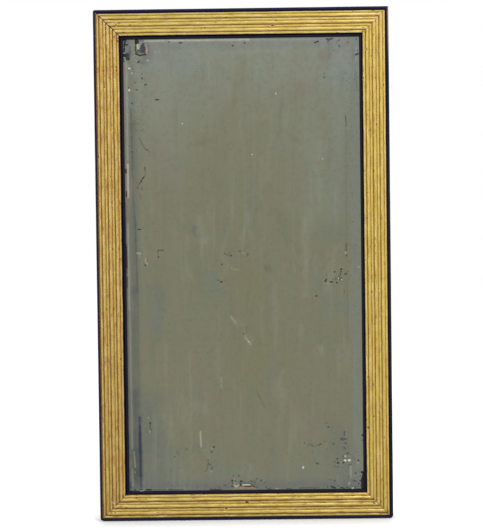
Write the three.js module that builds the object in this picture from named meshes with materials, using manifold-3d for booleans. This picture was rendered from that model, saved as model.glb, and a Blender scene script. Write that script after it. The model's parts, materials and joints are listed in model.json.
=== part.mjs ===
// A tall pier mirror: a mitred gilt moulding of large and small reeds between an ebonised edge and an
// ebonised slip, on a pegged pine back frame that holds a silvered glass plate behind the slip.
// Millimetres. X runs left to right, +Z is up, the front faces -Y and the wall is at +Y.
// The origin is the middle of the back plane, where the mirror lies against the wall.

import * as THREE from 'three';
import { mergeVertices } from 'three/addons/utils/BufferGeometryUtils.js';
import Module from 'manifold-3d';

// ---- Sizes of the whole, in mm ----
const FRAME_WIDTH = 690;
const FRAME_HEIGHT = 1200;

// Clearances
const FIT_GAP = 0.3;            // between pieces that are glued or seated
const MITRE_GAP = 0.4;          // the mitres have opened a little
const MERGE_DISTANCE = 1e-4;    // corners closer than this are one corner

// ---- Bands of the face, from the outer edge inward ----
const EDGE_WIDTH = 7.4;         // ebonised outer edge
const SMALL_REED_WIDTH = 6.6;
const LARGE_REED_WIDTH = 9.2;
const LARGE_REED_COUNT = 3;     // a small reed lies on both sides of each large one
const SLIP_WIDTH = 6.8;         // ebonised slip round the glass

// ---- Depths, from the wall towards the viewer ----
const BACK_FRAME_DEPTH = 22;
const MOULDING_BODY_DEPTH = 9.5; // the gilt moulding up to the bottom of its grooves
const SMALL_REED_RISE = 1.9;
const LARGE_REED_RISE = 3.2;
const EDGE_SHOULDER_DEPTH = 30;  // the edge strip up to where its round front starts
const EDGE_RISE = 3;
const SLIP_SHOULDER_HEIGHT = 3.6; // the slip's straight side above the glass
const SLIP_RISE = 2.2;
const ARCH_STEPS = 9;            // flats on each reed or round front

// ---- Plate ----
const PLATE_THICKNESS = 4;
const PLATE_LAP = 7.3;           // how far the plate reaches behind the slip
const PLATE_SIDE_ROOM = 1.2;     // between the plate's edge and the back frame
const PLATE_TOP_ROOM = 2;
const BEVEL_WIDTH = 35;          // shallow old bevel, partly behind the slip
const BEVEL_DROP = 1.2;
const SILVERING_THICKNESS = 0.3;
const SILVERING_INSET = 1;

// ---- Back frame, backboards and blocks ----
const BOARD_THICKNESS = 8;
const BOARD_LAP = 12;            // width of the rebate that the boards lie in
const BOARD_ROOM = 0.5;          // round the boards in their rebate
const BOARD_COUNT = 3;
const BOARD_SHRINKAGE = 0.9;     // open joint between two boards
const BOARD_CHAMFER_WIDTH = 3.2;
const BOARD_CHAMFER_DROP = 2.4;
const BLOCK_LENGTH = 62;
const BLOCK_WIDTH = 12;
const BLOCK_DEPTH = 7.6;
const BLOCK_NOSE = 3;            // height of the block's low side
const BLOCK_CREST = 4;           // width of the block's flat top
const SIDE_BLOCK_COUNT = 3;
const END_BLOCK_COUNT = 2;
const BLOCK_END_DISTANCE = 110;  // from the sight corner to the first block's middle
const PEG_RADIUS = 4.5;
const PEG_SIDES = 10;
const KEY_LEG = 24;              // mitre key, along each outer side
const KEY_THICKNESS = 2;

// ---- Nails of the backboards ----
const NAIL_LENGTH = 18.5;
const NAIL_SHANK = 2.6;          // width below the head
const NAIL_TIP = 1.4;
const NAIL_HEAD_WIDTH = 5;
const NAIL_HEAD_HEIGHT = 3.8;
const NAIL_HEAD_THICKNESS = 1.3;
const NAIL_PROUD = 0.4;          // head above the board
const NAIL_EDGE_DISTANCE = 6.5;  // from the board's end
const NAIL_SIDE_DISTANCE = 42;   // from the board's long edge

// ---- Hangers ----
const HANGER_DROP = 270;         // ring's axis below the frame's top
const STRAP_WIDTH = 16;
const STRAP_LENGTH = 56;         // below the ring's axis
const STRAP_THICKNESS = 1.6;
const CURL_ROOM = 0.3;           // between the ring's bar and the curl round it
const CURL_WRAP = 295;           // degrees
const CURL_STEPS = 18;
const RING_WIRE_RADIUS = 2.2;
const RING_HALF_WIDTH = 15;      // to the middle of the wire
const RING_CORNER_RADIUS = 4;
const RING_ARM = 9;              // from the bar to where the round part starts
const RING_SIDES = 10;
const RING_CURVE_STEPS = 7;
const SCREW_UPPER_DROP = 34;     // below the ring's axis
const SCREW_LOWER_DROP = 48;
const SCREW_SHANK_RADIUS = 2;
const SCREW_LENGTH = 17;
const SCREW_TIP_LENGTH = 5;
const SCREW_HEAD_RADIUS = 3.9;
const SCREW_HEAD_RISE = 2.3;
const SCREW_SLOT_WIDTH = 0.9;
const SCREW_SLOT_DEPTH = 1;
const SCREW_HEAD_STEPS = 5;
const ROUND_SIDES = 16;
const SAME_POINT = 0.01;

// ---- Worked out from the sizes above ----
const GILT_START = EDGE_WIDTH + FIT_GAP;
const SMALL_REED_COUNT = LARGE_REED_COUNT + 1;
const GILT_WIDTH = SMALL_REED_COUNT * SMALL_REED_WIDTH + LARGE_REED_COUNT * LARGE_REED_WIDTH - FIT_GAP;
const SLIP_START = GILT_START + GILT_WIDTH + FIT_GAP;
const SIGHT_INSET = SLIP_START + SLIP_WIDTH - FIT_GAP;
const PLATE_INSET = SIGHT_INSET - PLATE_LAP;
const BACK_FRAME_INSET = GILT_START;
const OPENING_INSET = PLATE_INSET - PLATE_SIDE_ROOM;
const BOARD_RECESS_INSET = OPENING_INSET - BOARD_LAP;
const BOARD_RECESS_DEPTH = BOARD_THICKNESS + FIT_GAP;
const FACING_BACK = BACK_FRAME_DEPTH + FIT_GAP;
const GROOVE_DEPTH = FACING_BACK + MOULDING_BODY_DEPTH;
const BEVEL_SHARE_AT_SIGHT = PLATE_LAP / BEVEL_WIDTH;
const PLATE_FRONT = FACING_BACK - FIT_GAP + BEVEL_DROP * (1 - BEVEL_SHARE_AT_SIGHT);
const PLATE_BACK = PLATE_FRONT - PLATE_THICKNESS;
const SILVERING_FRONT = PLATE_BACK - FIT_GAP;
const SILVERING_BACK = SILVERING_FRONT - SILVERING_THICKNESS;
const SLIP_SHOULDER_DEPTH = FACING_BACK + SLIP_SHOULDER_HEIGHT;
const CURL_INNER_RADIUS = RING_WIRE_RADIUS + CURL_ROOM;
const CURL_OUTER_RADIUS = CURL_INNER_RADIUS + STRAP_THICKNESS;
const RING_AXIS_Y = FIT_GAP + CURL_OUTER_RADIUS;

const wasm = await Module();
wasm.setup();

// ---- Materials ----
const look = (color, roughness, metalness) => new THREE.MeshStandardMaterial({ color, roughness, metalness });
const gilding = () => look(0xc9a95c, 0.35, 0.9);
const ebonised = () => look(0x20222e, 0.4, 0);
const oldPine = () => look(0x9a7444, 0.8, 0);
const boardPine = () => look(0x8a6a42, 0.85, 0);
const hardwood = () => look(0x7b5a33, 0.75, 0);
const glass = () => look(0x7b7e6d, 0.05, 0.6);
const tinFoil = () => look(0x6f7477, 0.35, 0.8);
const iron = () => look(0x3b3631, 0.6, 0.8);
const brass = () => look(0x9c7f45, 0.4, 0.9);

// ---- Solids: turning geometry into something that can be cut, and back ----
function toSolid(geometry) {
  const bare = geometry.index ? geometry.toNonIndexed() : geometry.clone();
  bare.deleteAttribute('normal');
  bare.deleteAttribute('uv');
  const merged = mergeVertices(bare, MERGE_DISTANCE);
  return new wasm.Manifold(new wasm.Mesh({
    numProp: 3,
    vertProperties: merged.attributes.position.array,
    triVerts: Uint32Array.from(merged.index.array),
  }));
}

function toGeometry(solid) {
  const mesh = solid.getMesh();
  const geometry = new THREE.BufferGeometry();
  geometry.setAttribute('position', new THREE.BufferAttribute(mesh.vertProperties, 3));
  geometry.setIndex(new THREE.BufferAttribute(mesh.triVerts, 1));
  geometry.computeVertexNormals();
  return geometry;
}

function cutFrom(geometry, cutters) {
  let solid = toSolid(geometry);
  for (const cutter of cutters) solid = solid.subtract(toSolid(cutter));
  return toGeometry(solid);
}

function named(name, geometry, material) {
  const mesh = new THREE.Mesh(geometry, material);
  mesh.name = name;
  return mesh;
}

function boxBetween(x0, x1, y0, y1, z0, z1) {
  const box = new THREE.BoxGeometry(x1 - x0, y1 - y0, z1 - z0);
  return box.translate((x0 + x1) / 2, (y0 + y1) / 2, (z0 + z1) / 2);
}

// ---- The four sides ----
// Each side is built as if it were the left one, inward along +X, and turned about Y into its place.
const SIDES = {
  left: { turn: 0, reach: FRAME_WIDTH / 2, run: FRAME_HEIGHT },
  top: { turn: Math.PI / 2, reach: FRAME_HEIGHT / 2, run: FRAME_WIDTH },
  right: { turn: Math.PI, reach: FRAME_WIDTH / 2, run: FRAME_HEIGHT },
  bottom: { turn: -Math.PI / 2, reach: FRAME_HEIGHT / 2, run: FRAME_WIDTH },
};

const sideGroups = {};
for (const [side, { turn }] of Object.entries(SIDES)) {
  sideGroups[side] = new THREE.Group();
  sideGroups[side].rotation.y = turn;
}

// The four corners, each turned from the bottom left one.
const CORNERS = {
  bottom_left: { turn: 0, x: -1, z: -1 },
  top_left: { turn: Math.PI / 2, x: -1, z: 1 },
  top_right: { turn: Math.PI, x: 1, z: 1 },
  bottom_right: { turn: -Math.PI / 2, x: 1, z: -1 },
};

// A round front over a flat shoulder: points from (start, base) to (start + width, base), inset and depth.
function archPoints(start, width, base, rise) {
  const halfAngle = 2 * Math.atan((2 * rise) / width);
  const radius = width / (2 * Math.sin(halfAngle));
  const points = [];
  for (let step = 0; step <= ARCH_STEPS; step += 1) {
    const angle = halfAngle * ((2 * step) / ARCH_STEPS - 1);
    const inset = start + width / 2 + radius * Math.sin(angle);
    points.push([inset, base + radius * (Math.cos(angle) - Math.cos(halfAngle))]);
  }
  return points;
}

// An outline of [inset, depth] points, with depth drawn towards the viewer, so along -Y.
function sectionShape(points) {
  return new THREE.Shape(points.map(([inset, depth]) => new THREE.Vector2(inset, -depth)));
}

// A length of moulding, cut back at both ends along the mitres.
function mitredStrip(points, { reach, run }) {
  const strip = new THREE.ExtrudeGeometry(sectionShape(points), { depth: run, bevelEnabled: false });
  const corner = strip.attributes.position;
  const cutBack = (MITRE_GAP / 2) * Math.SQRT2;
  for (let i = 0; i < corner.count; i += 1) {
    const inset = corner.getX(i);
    const end = corner.getZ(i) > run / 2 ? 1 : -1;
    corner.setXYZ(i, inset - reach, corner.getY(i), end * (run / 2 - inset - cutBack));
  }
  return strip;
}

// ---- Gilt moulding ----
function giltSection() {
  const points = [[GILT_START, FACING_BACK]];
  let start = GILT_START;
  for (let reed = 0; reed < SMALL_REED_COUNT + LARGE_REED_COUNT; reed += 1) {
    const isLarge = reed % 2 === 1;
    const isOutermost = reed === 0;
    const width = (isLarge ? LARGE_REED_WIDTH : SMALL_REED_WIDTH) - (isOutermost ? FIT_GAP : 0);
    const arch = archPoints(start, width, GROOVE_DEPTH, isLarge ? LARGE_REED_RISE : SMALL_REED_RISE);
    points.push(...(isOutermost ? arch : arch.slice(1)));
    start += width;
  }
  points.push([start, FACING_BACK]);
  return points;
}

// A mitre key lies across the outer corner of two mouldings, its right angle flush with their sides.
function mitreKey(room) {
  const outline = new THREE.Shape();
  outline.moveTo(-room, -room);
  outline.lineTo(KEY_LEG + 2 * room, -room);
  outline.lineTo(-room, KEY_LEG + 2 * room);
  const thickness = KEY_THICKNESS + 2 * room;
  const key = new THREE.ExtrudeGeometry(outline, { depth: thickness, bevelEnabled: false });
  key.translate(0, 0, -thickness / 2);
  return key.rotateX(Math.PI / 2);
}

const KEY_DEPTH = FACING_BACK + MOULDING_BODY_DEPTH / 2;

function giltMoulding(side) {
  const { reach, run } = side;
  const slots = [];
  for (const [end, turn] of [[-1, 0], [1, Math.PI / 2]]) {
    const slot = mitreKey(FIT_GAP).rotateY(turn);
    slots.push(slot.translate(GILT_START - reach, -KEY_DEPTH, end * (run / 2 - GILT_START)));
  }
  return cutFrom(mitredStrip(giltSection(), side), slots);
}

// ---- Ebonised edge and slip ----
function edgeSection() {
  const front = archPoints(0, EDGE_WIDTH, EDGE_SHOULDER_DEPTH, EDGE_RISE);
  return [[0, 0], ...front, [EDGE_WIDTH, 0]];
}

function slipSection() {
  const front = archPoints(SLIP_START, SIGHT_INSET - SLIP_START, SLIP_SHOULDER_DEPTH, SLIP_RISE);
  return [[SLIP_START, FACING_BACK], ...front, [SIGHT_INSET, FACING_BACK]];
}

// ---- Glue blocks behind the plate ----
function glueBlock(reach) {
  const wall = OPENING_INSET + FIT_GAP;
  const front = SILVERING_BACK - FIT_GAP;
  const points = [
    [wall, front],
    [wall + BLOCK_WIDTH, front],
    [wall + BLOCK_WIDTH, front - BLOCK_NOSE],
    [wall + BLOCK_CREST, front - BLOCK_DEPTH],
    [wall, front - BLOCK_DEPTH],
  ];
  const block = new THREE.ExtrudeGeometry(sectionShape(points), { depth: BLOCK_LENGTH, bevelEnabled: false });
  return block.translate(-reach, 0, -BLOCK_LENGTH / 2);
}

function addGlueBlocks(side, group) {
  const { reach, run } = SIDES[side];
  const count = side === 'left' || side === 'right' ? SIDE_BLOCK_COUNT : END_BLOCK_COUNT;
  const farthest = run / 2 - SIGHT_INSET - BLOCK_END_DISTANCE;
  for (let number = 0; number < count; number += 1) {
    const block = named(`glue_block_${side}_${number + 1}`, glueBlock(reach), oldPine());
    block.position.z = farthest * ((2 * number) / (count - 1) - 1);
    group.add(block);
  }
}

// ---- A panel with its rim bevelled on one face, which looks along -Y; its other face is at y = 0 ----
function bevelledPanel(width, height, thickness, bevelWidth, bevelDrop) {
  const outline = new THREE.Shape();
  outline.moveTo(-width / 2, -height / 2);
  outline.lineTo(width / 2, -height / 2);
  outline.lineTo(width / 2, height / 2);
  outline.lineTo(-width / 2, height / 2);
  const panel = new THREE.ExtrudeGeometry(outline, { depth: 2, steps: 2, bevelEnabled: false });
  const corner = panel.attributes.position;
  const layers = [
    { height: 0, inset: 0 },
    { height: thickness - bevelDrop, inset: 0 },
    { height: thickness, inset: bevelWidth },
  ];
  for (let i = 0; i < corner.count; i += 1) {
    const layer = layers[Math.round(corner.getZ(i))];
    const x = corner.getX(i) - Math.sign(corner.getX(i)) * layer.inset;
    const y = corner.getY(i) - Math.sign(corner.getY(i)) * layer.inset;
    corner.setXYZ(i, x, y, layer.height);
  }
  return panel.rotateX(Math.PI / 2);
}

// ---- Plate and silvering ----
// The plate stands on the bottom rail of the back frame and has its spare room at the top.
const OPENING_HALF_WIDTH = FRAME_WIDTH / 2 - OPENING_INSET;
const OPENING_HALF_HEIGHT = FRAME_HEIGHT / 2 - OPENING_INSET;
const PLATE_WIDTH = 2 * (OPENING_HALF_WIDTH - PLATE_SIDE_ROOM);
const PLATE_HEIGHT = 2 * OPENING_HALF_HEIGHT - FIT_GAP - PLATE_TOP_ROOM;
const PLATE_MIDDLE = (FIT_GAP - PLATE_TOP_ROOM) / 2;

function mirrorPlate() {
  const panel = bevelledPanel(PLATE_WIDTH, PLATE_HEIGHT, PLATE_THICKNESS, BEVEL_WIDTH, BEVEL_DROP);
  const plate = named('mirror_plate', panel, glass());
  plate.position.set(0, -PLATE_BACK, PLATE_MIDDLE);
  return plate;
}

function silvering() {
  const width = PLATE_WIDTH - 2 * SILVERING_INSET;
  const height = PLATE_HEIGHT - 2 * SILVERING_INSET;
  const foil = named('silvering', new THREE.BoxGeometry(width, SILVERING_THICKNESS, height), tinFoil());
  foil.position.set(0, -(SILVERING_FRONT + SILVERING_BACK) / 2, PLATE_MIDDLE);
  return foil;
}

// ---- Backboard nails: a square tapered shank under a rectangular head that looks along +Y ----
function boardNail(room) {
  const shankLength = NAIL_LENGTH + room;
  const toCorner = Math.SQRT1_2;
  const shank = new THREE.CylinderGeometry(
    (NAIL_SHANK + 2 * room) * toCorner,
    (NAIL_TIP + 2 * room) * toCorner,
    shankLength,
    4,
  );
  shank.rotateY(Math.PI / 4).translate(0, -shankLength / 2, 0);
  const headHeight = NAIL_HEAD_HEIGHT + 2 * room;
  const head = new THREE.BoxGeometry(NAIL_HEAD_WIDTH + 2 * room, NAIL_HEAD_THICKNESS + 2 * room, headHeight);
  head.translate(0, -NAIL_HEAD_THICKNESS / 2, 0);
  return toGeometry(toSolid(shank).add(toSolid(head)));
}

const RECESS_HALF_WIDTH = FRAME_WIDTH / 2 - BOARD_RECESS_INSET;
const RECESS_HALF_HEIGHT = FRAME_HEIGHT / 2 - BOARD_RECESS_INSET;
const BOARD_LENGTH = 2 * (RECESS_HALF_HEIGHT - BOARD_ROOM);
const BOARD_JOINTS_WIDTH = (BOARD_COUNT - 1) * BOARD_SHRINKAGE;
const BOARD_WIDTH = (2 * (RECESS_HALF_WIDTH - BOARD_ROOM) - BOARD_JOINTS_WIDTH) / BOARD_COUNT;

function boardMiddle(number) {
  return (number - (BOARD_COUNT - 1) / 2) * (BOARD_WIDTH + BOARD_SHRINKAGE);
}

function nailPlaces(number) {
  const places = [];
  for (const z of [1, -1]) {
    for (const x of [-1, 1]) {
      places.push(new THREE.Vector3(
        boardMiddle(number) + x * (BOARD_WIDTH / 2 - NAIL_SIDE_DISTANCE),
        NAIL_PROUD,
        z * (BOARD_LENGTH / 2 - NAIL_EDGE_DISTANCE),
      ));
    }
  }
  return places;
}

const nailHoles = [];
for (let board = 0; board < BOARD_COUNT; board += 1) {
  for (const place of nailPlaces(board)) {
    nailHoles.push(boardNail(FIT_GAP).translate(place.x, place.y, place.z));
  }
}

// ---- Backboards, their chamfered faces flush with the back of the frame ----
function backboard(number) {
  const panel = bevelledPanel(
    BOARD_WIDTH,
    BOARD_LENGTH,
    BOARD_THICKNESS,
    BOARD_CHAMFER_WIDTH,
    BOARD_CHAMFER_DROP,
  );
  panel.rotateZ(Math.PI).translate(boardMiddle(number), -BOARD_THICKNESS, 0);
  const nailsPerBoard = nailPlaces(number).length;
  const holes = nailHoles.slice(number * nailsPerBoard, (number + 1) * nailsPerBoard);
  return named(`backboard_${number + 1}`, cutFrom(panel, holes), boardPine());
}

// ---- Hangers, round the ring's axis; u and v are along +Y and +Z from that axis ----
function strapOutline() {
  const outline = new THREE.Shape();
  outline.moveTo(-CURL_OUTER_RADIUS, -STRAP_LENGTH);
  outline.lineTo(-CURL_INNER_RADIUS, -STRAP_LENGTH);
  const turn = THREE.MathUtils.degToRad(CURL_WRAP) / CURL_STEPS;
  for (let step = 0; step <= CURL_STEPS; step += 1) {
    const angle = Math.PI - step * turn;
    outline.lineTo(CURL_INNER_RADIUS * Math.cos(angle), CURL_INNER_RADIUS * Math.sin(angle));
  }
  for (let step = CURL_STEPS; step >= 0; step -= 1) {
    const angle = Math.PI - step * turn;
    outline.lineTo(CURL_OUTER_RADIUS * Math.cos(angle), CURL_OUTER_RADIUS * Math.sin(angle));
  }
  return outline;
}

function hangerStrap() {
  const strap = new THREE.ExtrudeGeometry(strapOutline(), { depth: STRAP_WIDTH, bevelEnabled: false });
  strap.translate(0, 0, -STRAP_WIDTH / 2);
  // Shape x to +Y, shape y to +Z, extrusion to +X.
  strap.rotateY(Math.PI / 2).rotateX(Math.PI / 2);
  const holes = [SCREW_UPPER_DROP, SCREW_LOWER_DROP].map((drop) => screwHole().translate(0, 0, -drop));
  return cutFrom(strap, holes);
}

function screwHole() {
  const radius = SCREW_SHANK_RADIUS + FIT_GAP;
  return new THREE.CylinderGeometry(radius, radius, 2 * SCREW_LENGTH, ROUND_SIDES);
}

// A closed loop of wire through points of the XZ plane.
function closedWire(points, radius, sides) {
  const count = points.length;
  const position = [];
  const index = [];
  for (let i = 0; i < count; i += 1) {
    const before = points[(i + count - 1) % count];
    const after = points[(i + 1) % count];
    const along = new THREE.Vector2().subVectors(after, before).normalize();
    for (let side = 0; side < sides; side += 1) {
      const angle = (2 * Math.PI * side) / sides;
      const out = radius * Math.cos(angle);
      position.push(points[i].x + out * along.y, radius * Math.sin(angle), points[i].y - out * along.x);
      const next = (side + 1) % sides;
      const here = i * sides;
      const there = ((i + 1) % count) * sides;
      index.push(here + side, here + next, there + side);
      index.push(here + next, there + next, there + side);
    }
  }
  const wire = new THREE.BufferGeometry();
  wire.setAttribute('position', new THREE.Float32BufferAttribute(position, 3));
  wire.setIndex(index);
  wire.computeVertexNormals();
  return wire;
}

function ringPath() {
  const path = new THREE.Path();
  const corner = RING_CORNER_RADIUS;
  const bend = RING_HALF_WIDTH - corner;
  path.moveTo(-bend, 0);
  path.lineTo(bend, 0);
  path.absarc(bend, -corner, corner, Math.PI / 2, 0, true);
  path.lineTo(RING_HALF_WIDTH, -RING_ARM);
  path.absarc(0, -RING_ARM, RING_HALF_WIDTH, 0, -Math.PI, true);
  path.lineTo(-RING_HALF_WIDTH, -corner);
  path.absarc(-bend, -corner, corner, Math.PI, Math.PI / 2, true);
  // Where two stretches meet, the path gives the same point twice.
  const points = path.getPoints(RING_CURVE_STEPS);
  return points.filter((point, i) => point.distanceTo(points.at(i - 1)) > SAME_POINT);
}

function woodScrew() {
  const profile = [
    new THREE.Vector2(0, -SCREW_LENGTH),
    new THREE.Vector2(SCREW_SHANK_RADIUS, SCREW_TIP_LENGTH - SCREW_LENGTH),
    new THREE.Vector2(SCREW_SHANK_RADIUS, 0),
    new THREE.Vector2(SCREW_HEAD_RADIUS, 0),
  ];
  for (let step = 1; step <= SCREW_HEAD_STEPS; step += 1) {
    const angle = (Math.PI / 2) * (step / SCREW_HEAD_STEPS);
    const radius = step === SCREW_HEAD_STEPS ? 0 : SCREW_HEAD_RADIUS * Math.cos(angle);
    profile.push(new THREE.Vector2(radius, SCREW_HEAD_RISE * Math.sin(angle)));
  }
  const turned = new THREE.LatheGeometry(profile, ROUND_SIDES);
  const slot = new THREE.BoxGeometry(3 * SCREW_HEAD_RADIUS, 2 * SCREW_SLOT_DEPTH, SCREW_SLOT_WIDTH);
  slot.translate(0, SCREW_HEAD_RISE, 0);
  return cutFrom(turned, [slot]);
}

const HANGER_X = FRAME_WIDTH / 2 - (BACK_FRAME_INSET + BOARD_RECESS_INSET) / 2;
const HANGER_Z = FRAME_HEIGHT / 2 - HANGER_DROP;

function hanger(side, direction) {
  const group = new THREE.Group();
  group.position.set(direction * HANGER_X, RING_AXIS_Y, HANGER_Z);
  group.add(named(`hanger_strap_${side}`, hangerStrap(), brass()));
  const ring = closedWire(ringPath(), RING_WIRE_RADIUS, RING_SIDES);
  group.add(named(`hanger_ring_${side}`, ring, brass()));
  const headSeat = STRAP_THICKNESS + FIT_GAP - CURL_OUTER_RADIUS;
  for (const [level, drop] of [['upper', SCREW_UPPER_DROP], ['lower', SCREW_LOWER_DROP]]) {
    const screw = named(`hanger_screw_${side}_${level}`, woodScrew(), iron());
    screw.position.set(0, headSeat, -drop);
    group.add(screw);
  }
  return group;
}

// ---- Back frame: stiles keep the rear half of each corner lap, rails the front half ----
const LAP_DEPTH = BACK_FRAME_DEPTH / 2;
const OUTER_X = FRAME_WIDTH / 2 - BACK_FRAME_INSET;
const OUTER_Z = FRAME_HEIGHT / 2 - BACK_FRAME_INSET;
const BEYOND = 5; // a cutter reaches this far past what it cuts

function boardRecess() {
  const x = RECESS_HALF_WIDTH;
  const z = RECESS_HALF_HEIGHT;
  return boxBetween(-x, x, -BOARD_RECESS_DEPTH, BEYOND, -z, z);
}

function pegHole() {
  const radius = PEG_RADIUS + FIT_GAP;
  return new THREE.CylinderGeometry(radius, radius, 2 * BACK_FRAME_DEPTH + BEYOND, PEG_SIDES);
}

const LAP_MIDDLE_INSET = (BACK_FRAME_INSET + OPENING_INSET) / 2;

function cornerPlace({ x, z }) {
  const place = new THREE.Vector3(x * (FRAME_WIDTH / 2 - LAP_MIDDLE_INSET), 0, 0);
  place.z = z * (FRAME_HEIGHT / 2 - LAP_MIDDLE_INSET);
  return place;
}

const pegHoles = Object.values(CORNERS).map((corner) => {
  const place = cornerPlace(corner);
  return pegHole().translate(place.x, place.y, place.z);
});

function screwPilots() {
  const pilots = [];
  for (const direction of [-1, 1]) {
    for (const drop of [SCREW_UPPER_DROP, SCREW_LOWER_DROP]) {
      pilots.push(screwHole().translate(direction * HANGER_X, 0, HANGER_Z - drop));
    }
  }
  return pilots;
}

function backStile(name, direction) {
  const inner = OPENING_HALF_WIDTH;
  const [x0, x1] = direction < 0 ? [-OUTER_X, -inner] : [inner, OUTER_X];
  const stile = boxBetween(x0, x1, -BACK_FRAME_DEPTH, 0, -OUTER_Z, OUTER_Z);
  const shoulder = OPENING_HALF_HEIGHT - FIT_GAP;
  const cutters = [boardRecess(), ...pegHoles, ...screwPilots()];
  for (const end of [-1, 1]) {
    const [z0, z1] = end < 0 ? [-OUTER_Z - BEYOND, -shoulder] : [shoulder, OUTER_Z + BEYOND];
    cutters.push(boxBetween(x0 - BEYOND, x1 + BEYOND, -BACK_FRAME_DEPTH - BEYOND, -LAP_DEPTH, z0, z1));
  }
  return named(name, cutFrom(stile, cutters), oldPine());
}

function backRail(name, direction) {
  const inner = OPENING_HALF_HEIGHT;
  const [z0, z1] = direction < 0 ? [-OUTER_Z, -inner] : [inner, OUTER_Z];
  const rail = boxBetween(-OUTER_X, OUTER_X, -BACK_FRAME_DEPTH, 0, z0, z1);
  const shoulder = OPENING_HALF_WIDTH - FIT_GAP;
  const cutters = [boardRecess(), ...pegHoles, ...nailHoles];
  for (const end of [-1, 1]) {
    const [x0, x1] = end < 0 ? [-OUTER_X - BEYOND, -shoulder] : [shoulder, OUTER_X + BEYOND];
    cutters.push(boxBetween(x0, x1, -LAP_DEPTH - FIT_GAP, BEYOND, z0 - BEYOND, z1 + BEYOND));
  }
  return named(name, cutFrom(rail, cutters), oldPine());
}

// ---- Putting it together ----
const mirror = new THREE.Group();

mirror.add(backStile('back_stile_left', -1));
mirror.add(backStile('back_stile_right', 1));
mirror.add(backRail('back_rail_top', 1));
mirror.add(backRail('back_rail_bottom', -1));

for (const [corner, ends] of Object.entries(CORNERS)) {
  const pegLength = BACK_FRAME_DEPTH - FIT_GAP;
  const pin = new THREE.CylinderGeometry(PEG_RADIUS, PEG_RADIUS, pegLength, PEG_SIDES);
  const peg = named(`corner_peg_${corner}`, pin, hardwood());
  peg.position.copy(cornerPlace(ends)).setY(-pegLength / 2);
  mirror.add(peg);

  const key = named(`mitre_key_${corner}`, mitreKey(0), hardwood());
  key.rotation.y = ends.turn;
  key.position.set(ends.x * OUTER_X, -KEY_DEPTH, ends.z * OUTER_Z);
  mirror.add(key);
}

for (const [side, group] of Object.entries(sideGroups)) {
  group.add(named(`gilt_moulding_${side}`, giltMoulding(SIDES[side]), gilding()));
  group.add(named(`ebonised_edge_${side}`, mitredStrip(edgeSection(), SIDES[side]), ebonised()));
  group.add(named(`ebonised_slip_${side}`, mitredStrip(slipSection(), SIDES[side]), ebonised()));
  addGlueBlocks(side, group);
  mirror.add(group);
}

mirror.add(mirrorPlate());
mirror.add(silvering());

for (let board = 0; board < BOARD_COUNT; board += 1) {
  mirror.add(backboard(board));
  nailPlaces(board).forEach((point, i) => {
    const nail = named(`board_nail_${board + 1}_${i + 1}`, boardNail(0), iron());
    nail.position.copy(point);
    mirror.add(nail);
  });
}

mirror.add(hanger('left', -1));
mirror.add(hanger('right', 1));

export default mirror;
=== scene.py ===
import json
import math

import bpy
import numpy as np
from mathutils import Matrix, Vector

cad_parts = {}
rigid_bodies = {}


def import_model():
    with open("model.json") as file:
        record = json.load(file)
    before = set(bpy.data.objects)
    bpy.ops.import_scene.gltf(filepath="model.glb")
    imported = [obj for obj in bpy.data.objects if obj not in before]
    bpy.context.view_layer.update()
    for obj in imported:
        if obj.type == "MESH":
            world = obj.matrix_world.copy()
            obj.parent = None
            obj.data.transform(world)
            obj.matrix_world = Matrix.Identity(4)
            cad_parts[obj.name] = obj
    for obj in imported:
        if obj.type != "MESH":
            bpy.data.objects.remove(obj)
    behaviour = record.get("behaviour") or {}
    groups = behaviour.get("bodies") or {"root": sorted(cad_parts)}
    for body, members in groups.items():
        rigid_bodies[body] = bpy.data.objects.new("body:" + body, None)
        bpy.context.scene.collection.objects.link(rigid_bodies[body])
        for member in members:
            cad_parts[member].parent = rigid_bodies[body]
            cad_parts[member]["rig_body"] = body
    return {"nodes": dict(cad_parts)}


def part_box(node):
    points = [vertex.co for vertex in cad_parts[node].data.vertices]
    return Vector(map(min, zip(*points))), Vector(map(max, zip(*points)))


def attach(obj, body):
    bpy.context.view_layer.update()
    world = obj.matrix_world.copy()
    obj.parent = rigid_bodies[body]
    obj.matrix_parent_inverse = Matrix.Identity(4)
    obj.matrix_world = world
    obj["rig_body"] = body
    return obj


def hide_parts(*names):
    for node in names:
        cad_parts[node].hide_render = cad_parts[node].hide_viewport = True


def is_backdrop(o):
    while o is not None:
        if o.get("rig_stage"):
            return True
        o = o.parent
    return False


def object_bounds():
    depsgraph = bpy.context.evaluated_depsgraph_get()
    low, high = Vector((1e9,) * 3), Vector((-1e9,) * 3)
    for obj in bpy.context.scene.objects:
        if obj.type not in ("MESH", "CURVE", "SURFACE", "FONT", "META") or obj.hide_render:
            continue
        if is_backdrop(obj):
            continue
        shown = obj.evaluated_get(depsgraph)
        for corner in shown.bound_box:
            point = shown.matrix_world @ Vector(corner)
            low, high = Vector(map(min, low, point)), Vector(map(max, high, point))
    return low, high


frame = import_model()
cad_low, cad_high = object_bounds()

# ---- Back frame ----
# Two pine stiles and two rails, planed by hand and half-lapped at the corners. They are bare wood that
# has gone brown with age, and the grain of each runs along its length.


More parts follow.
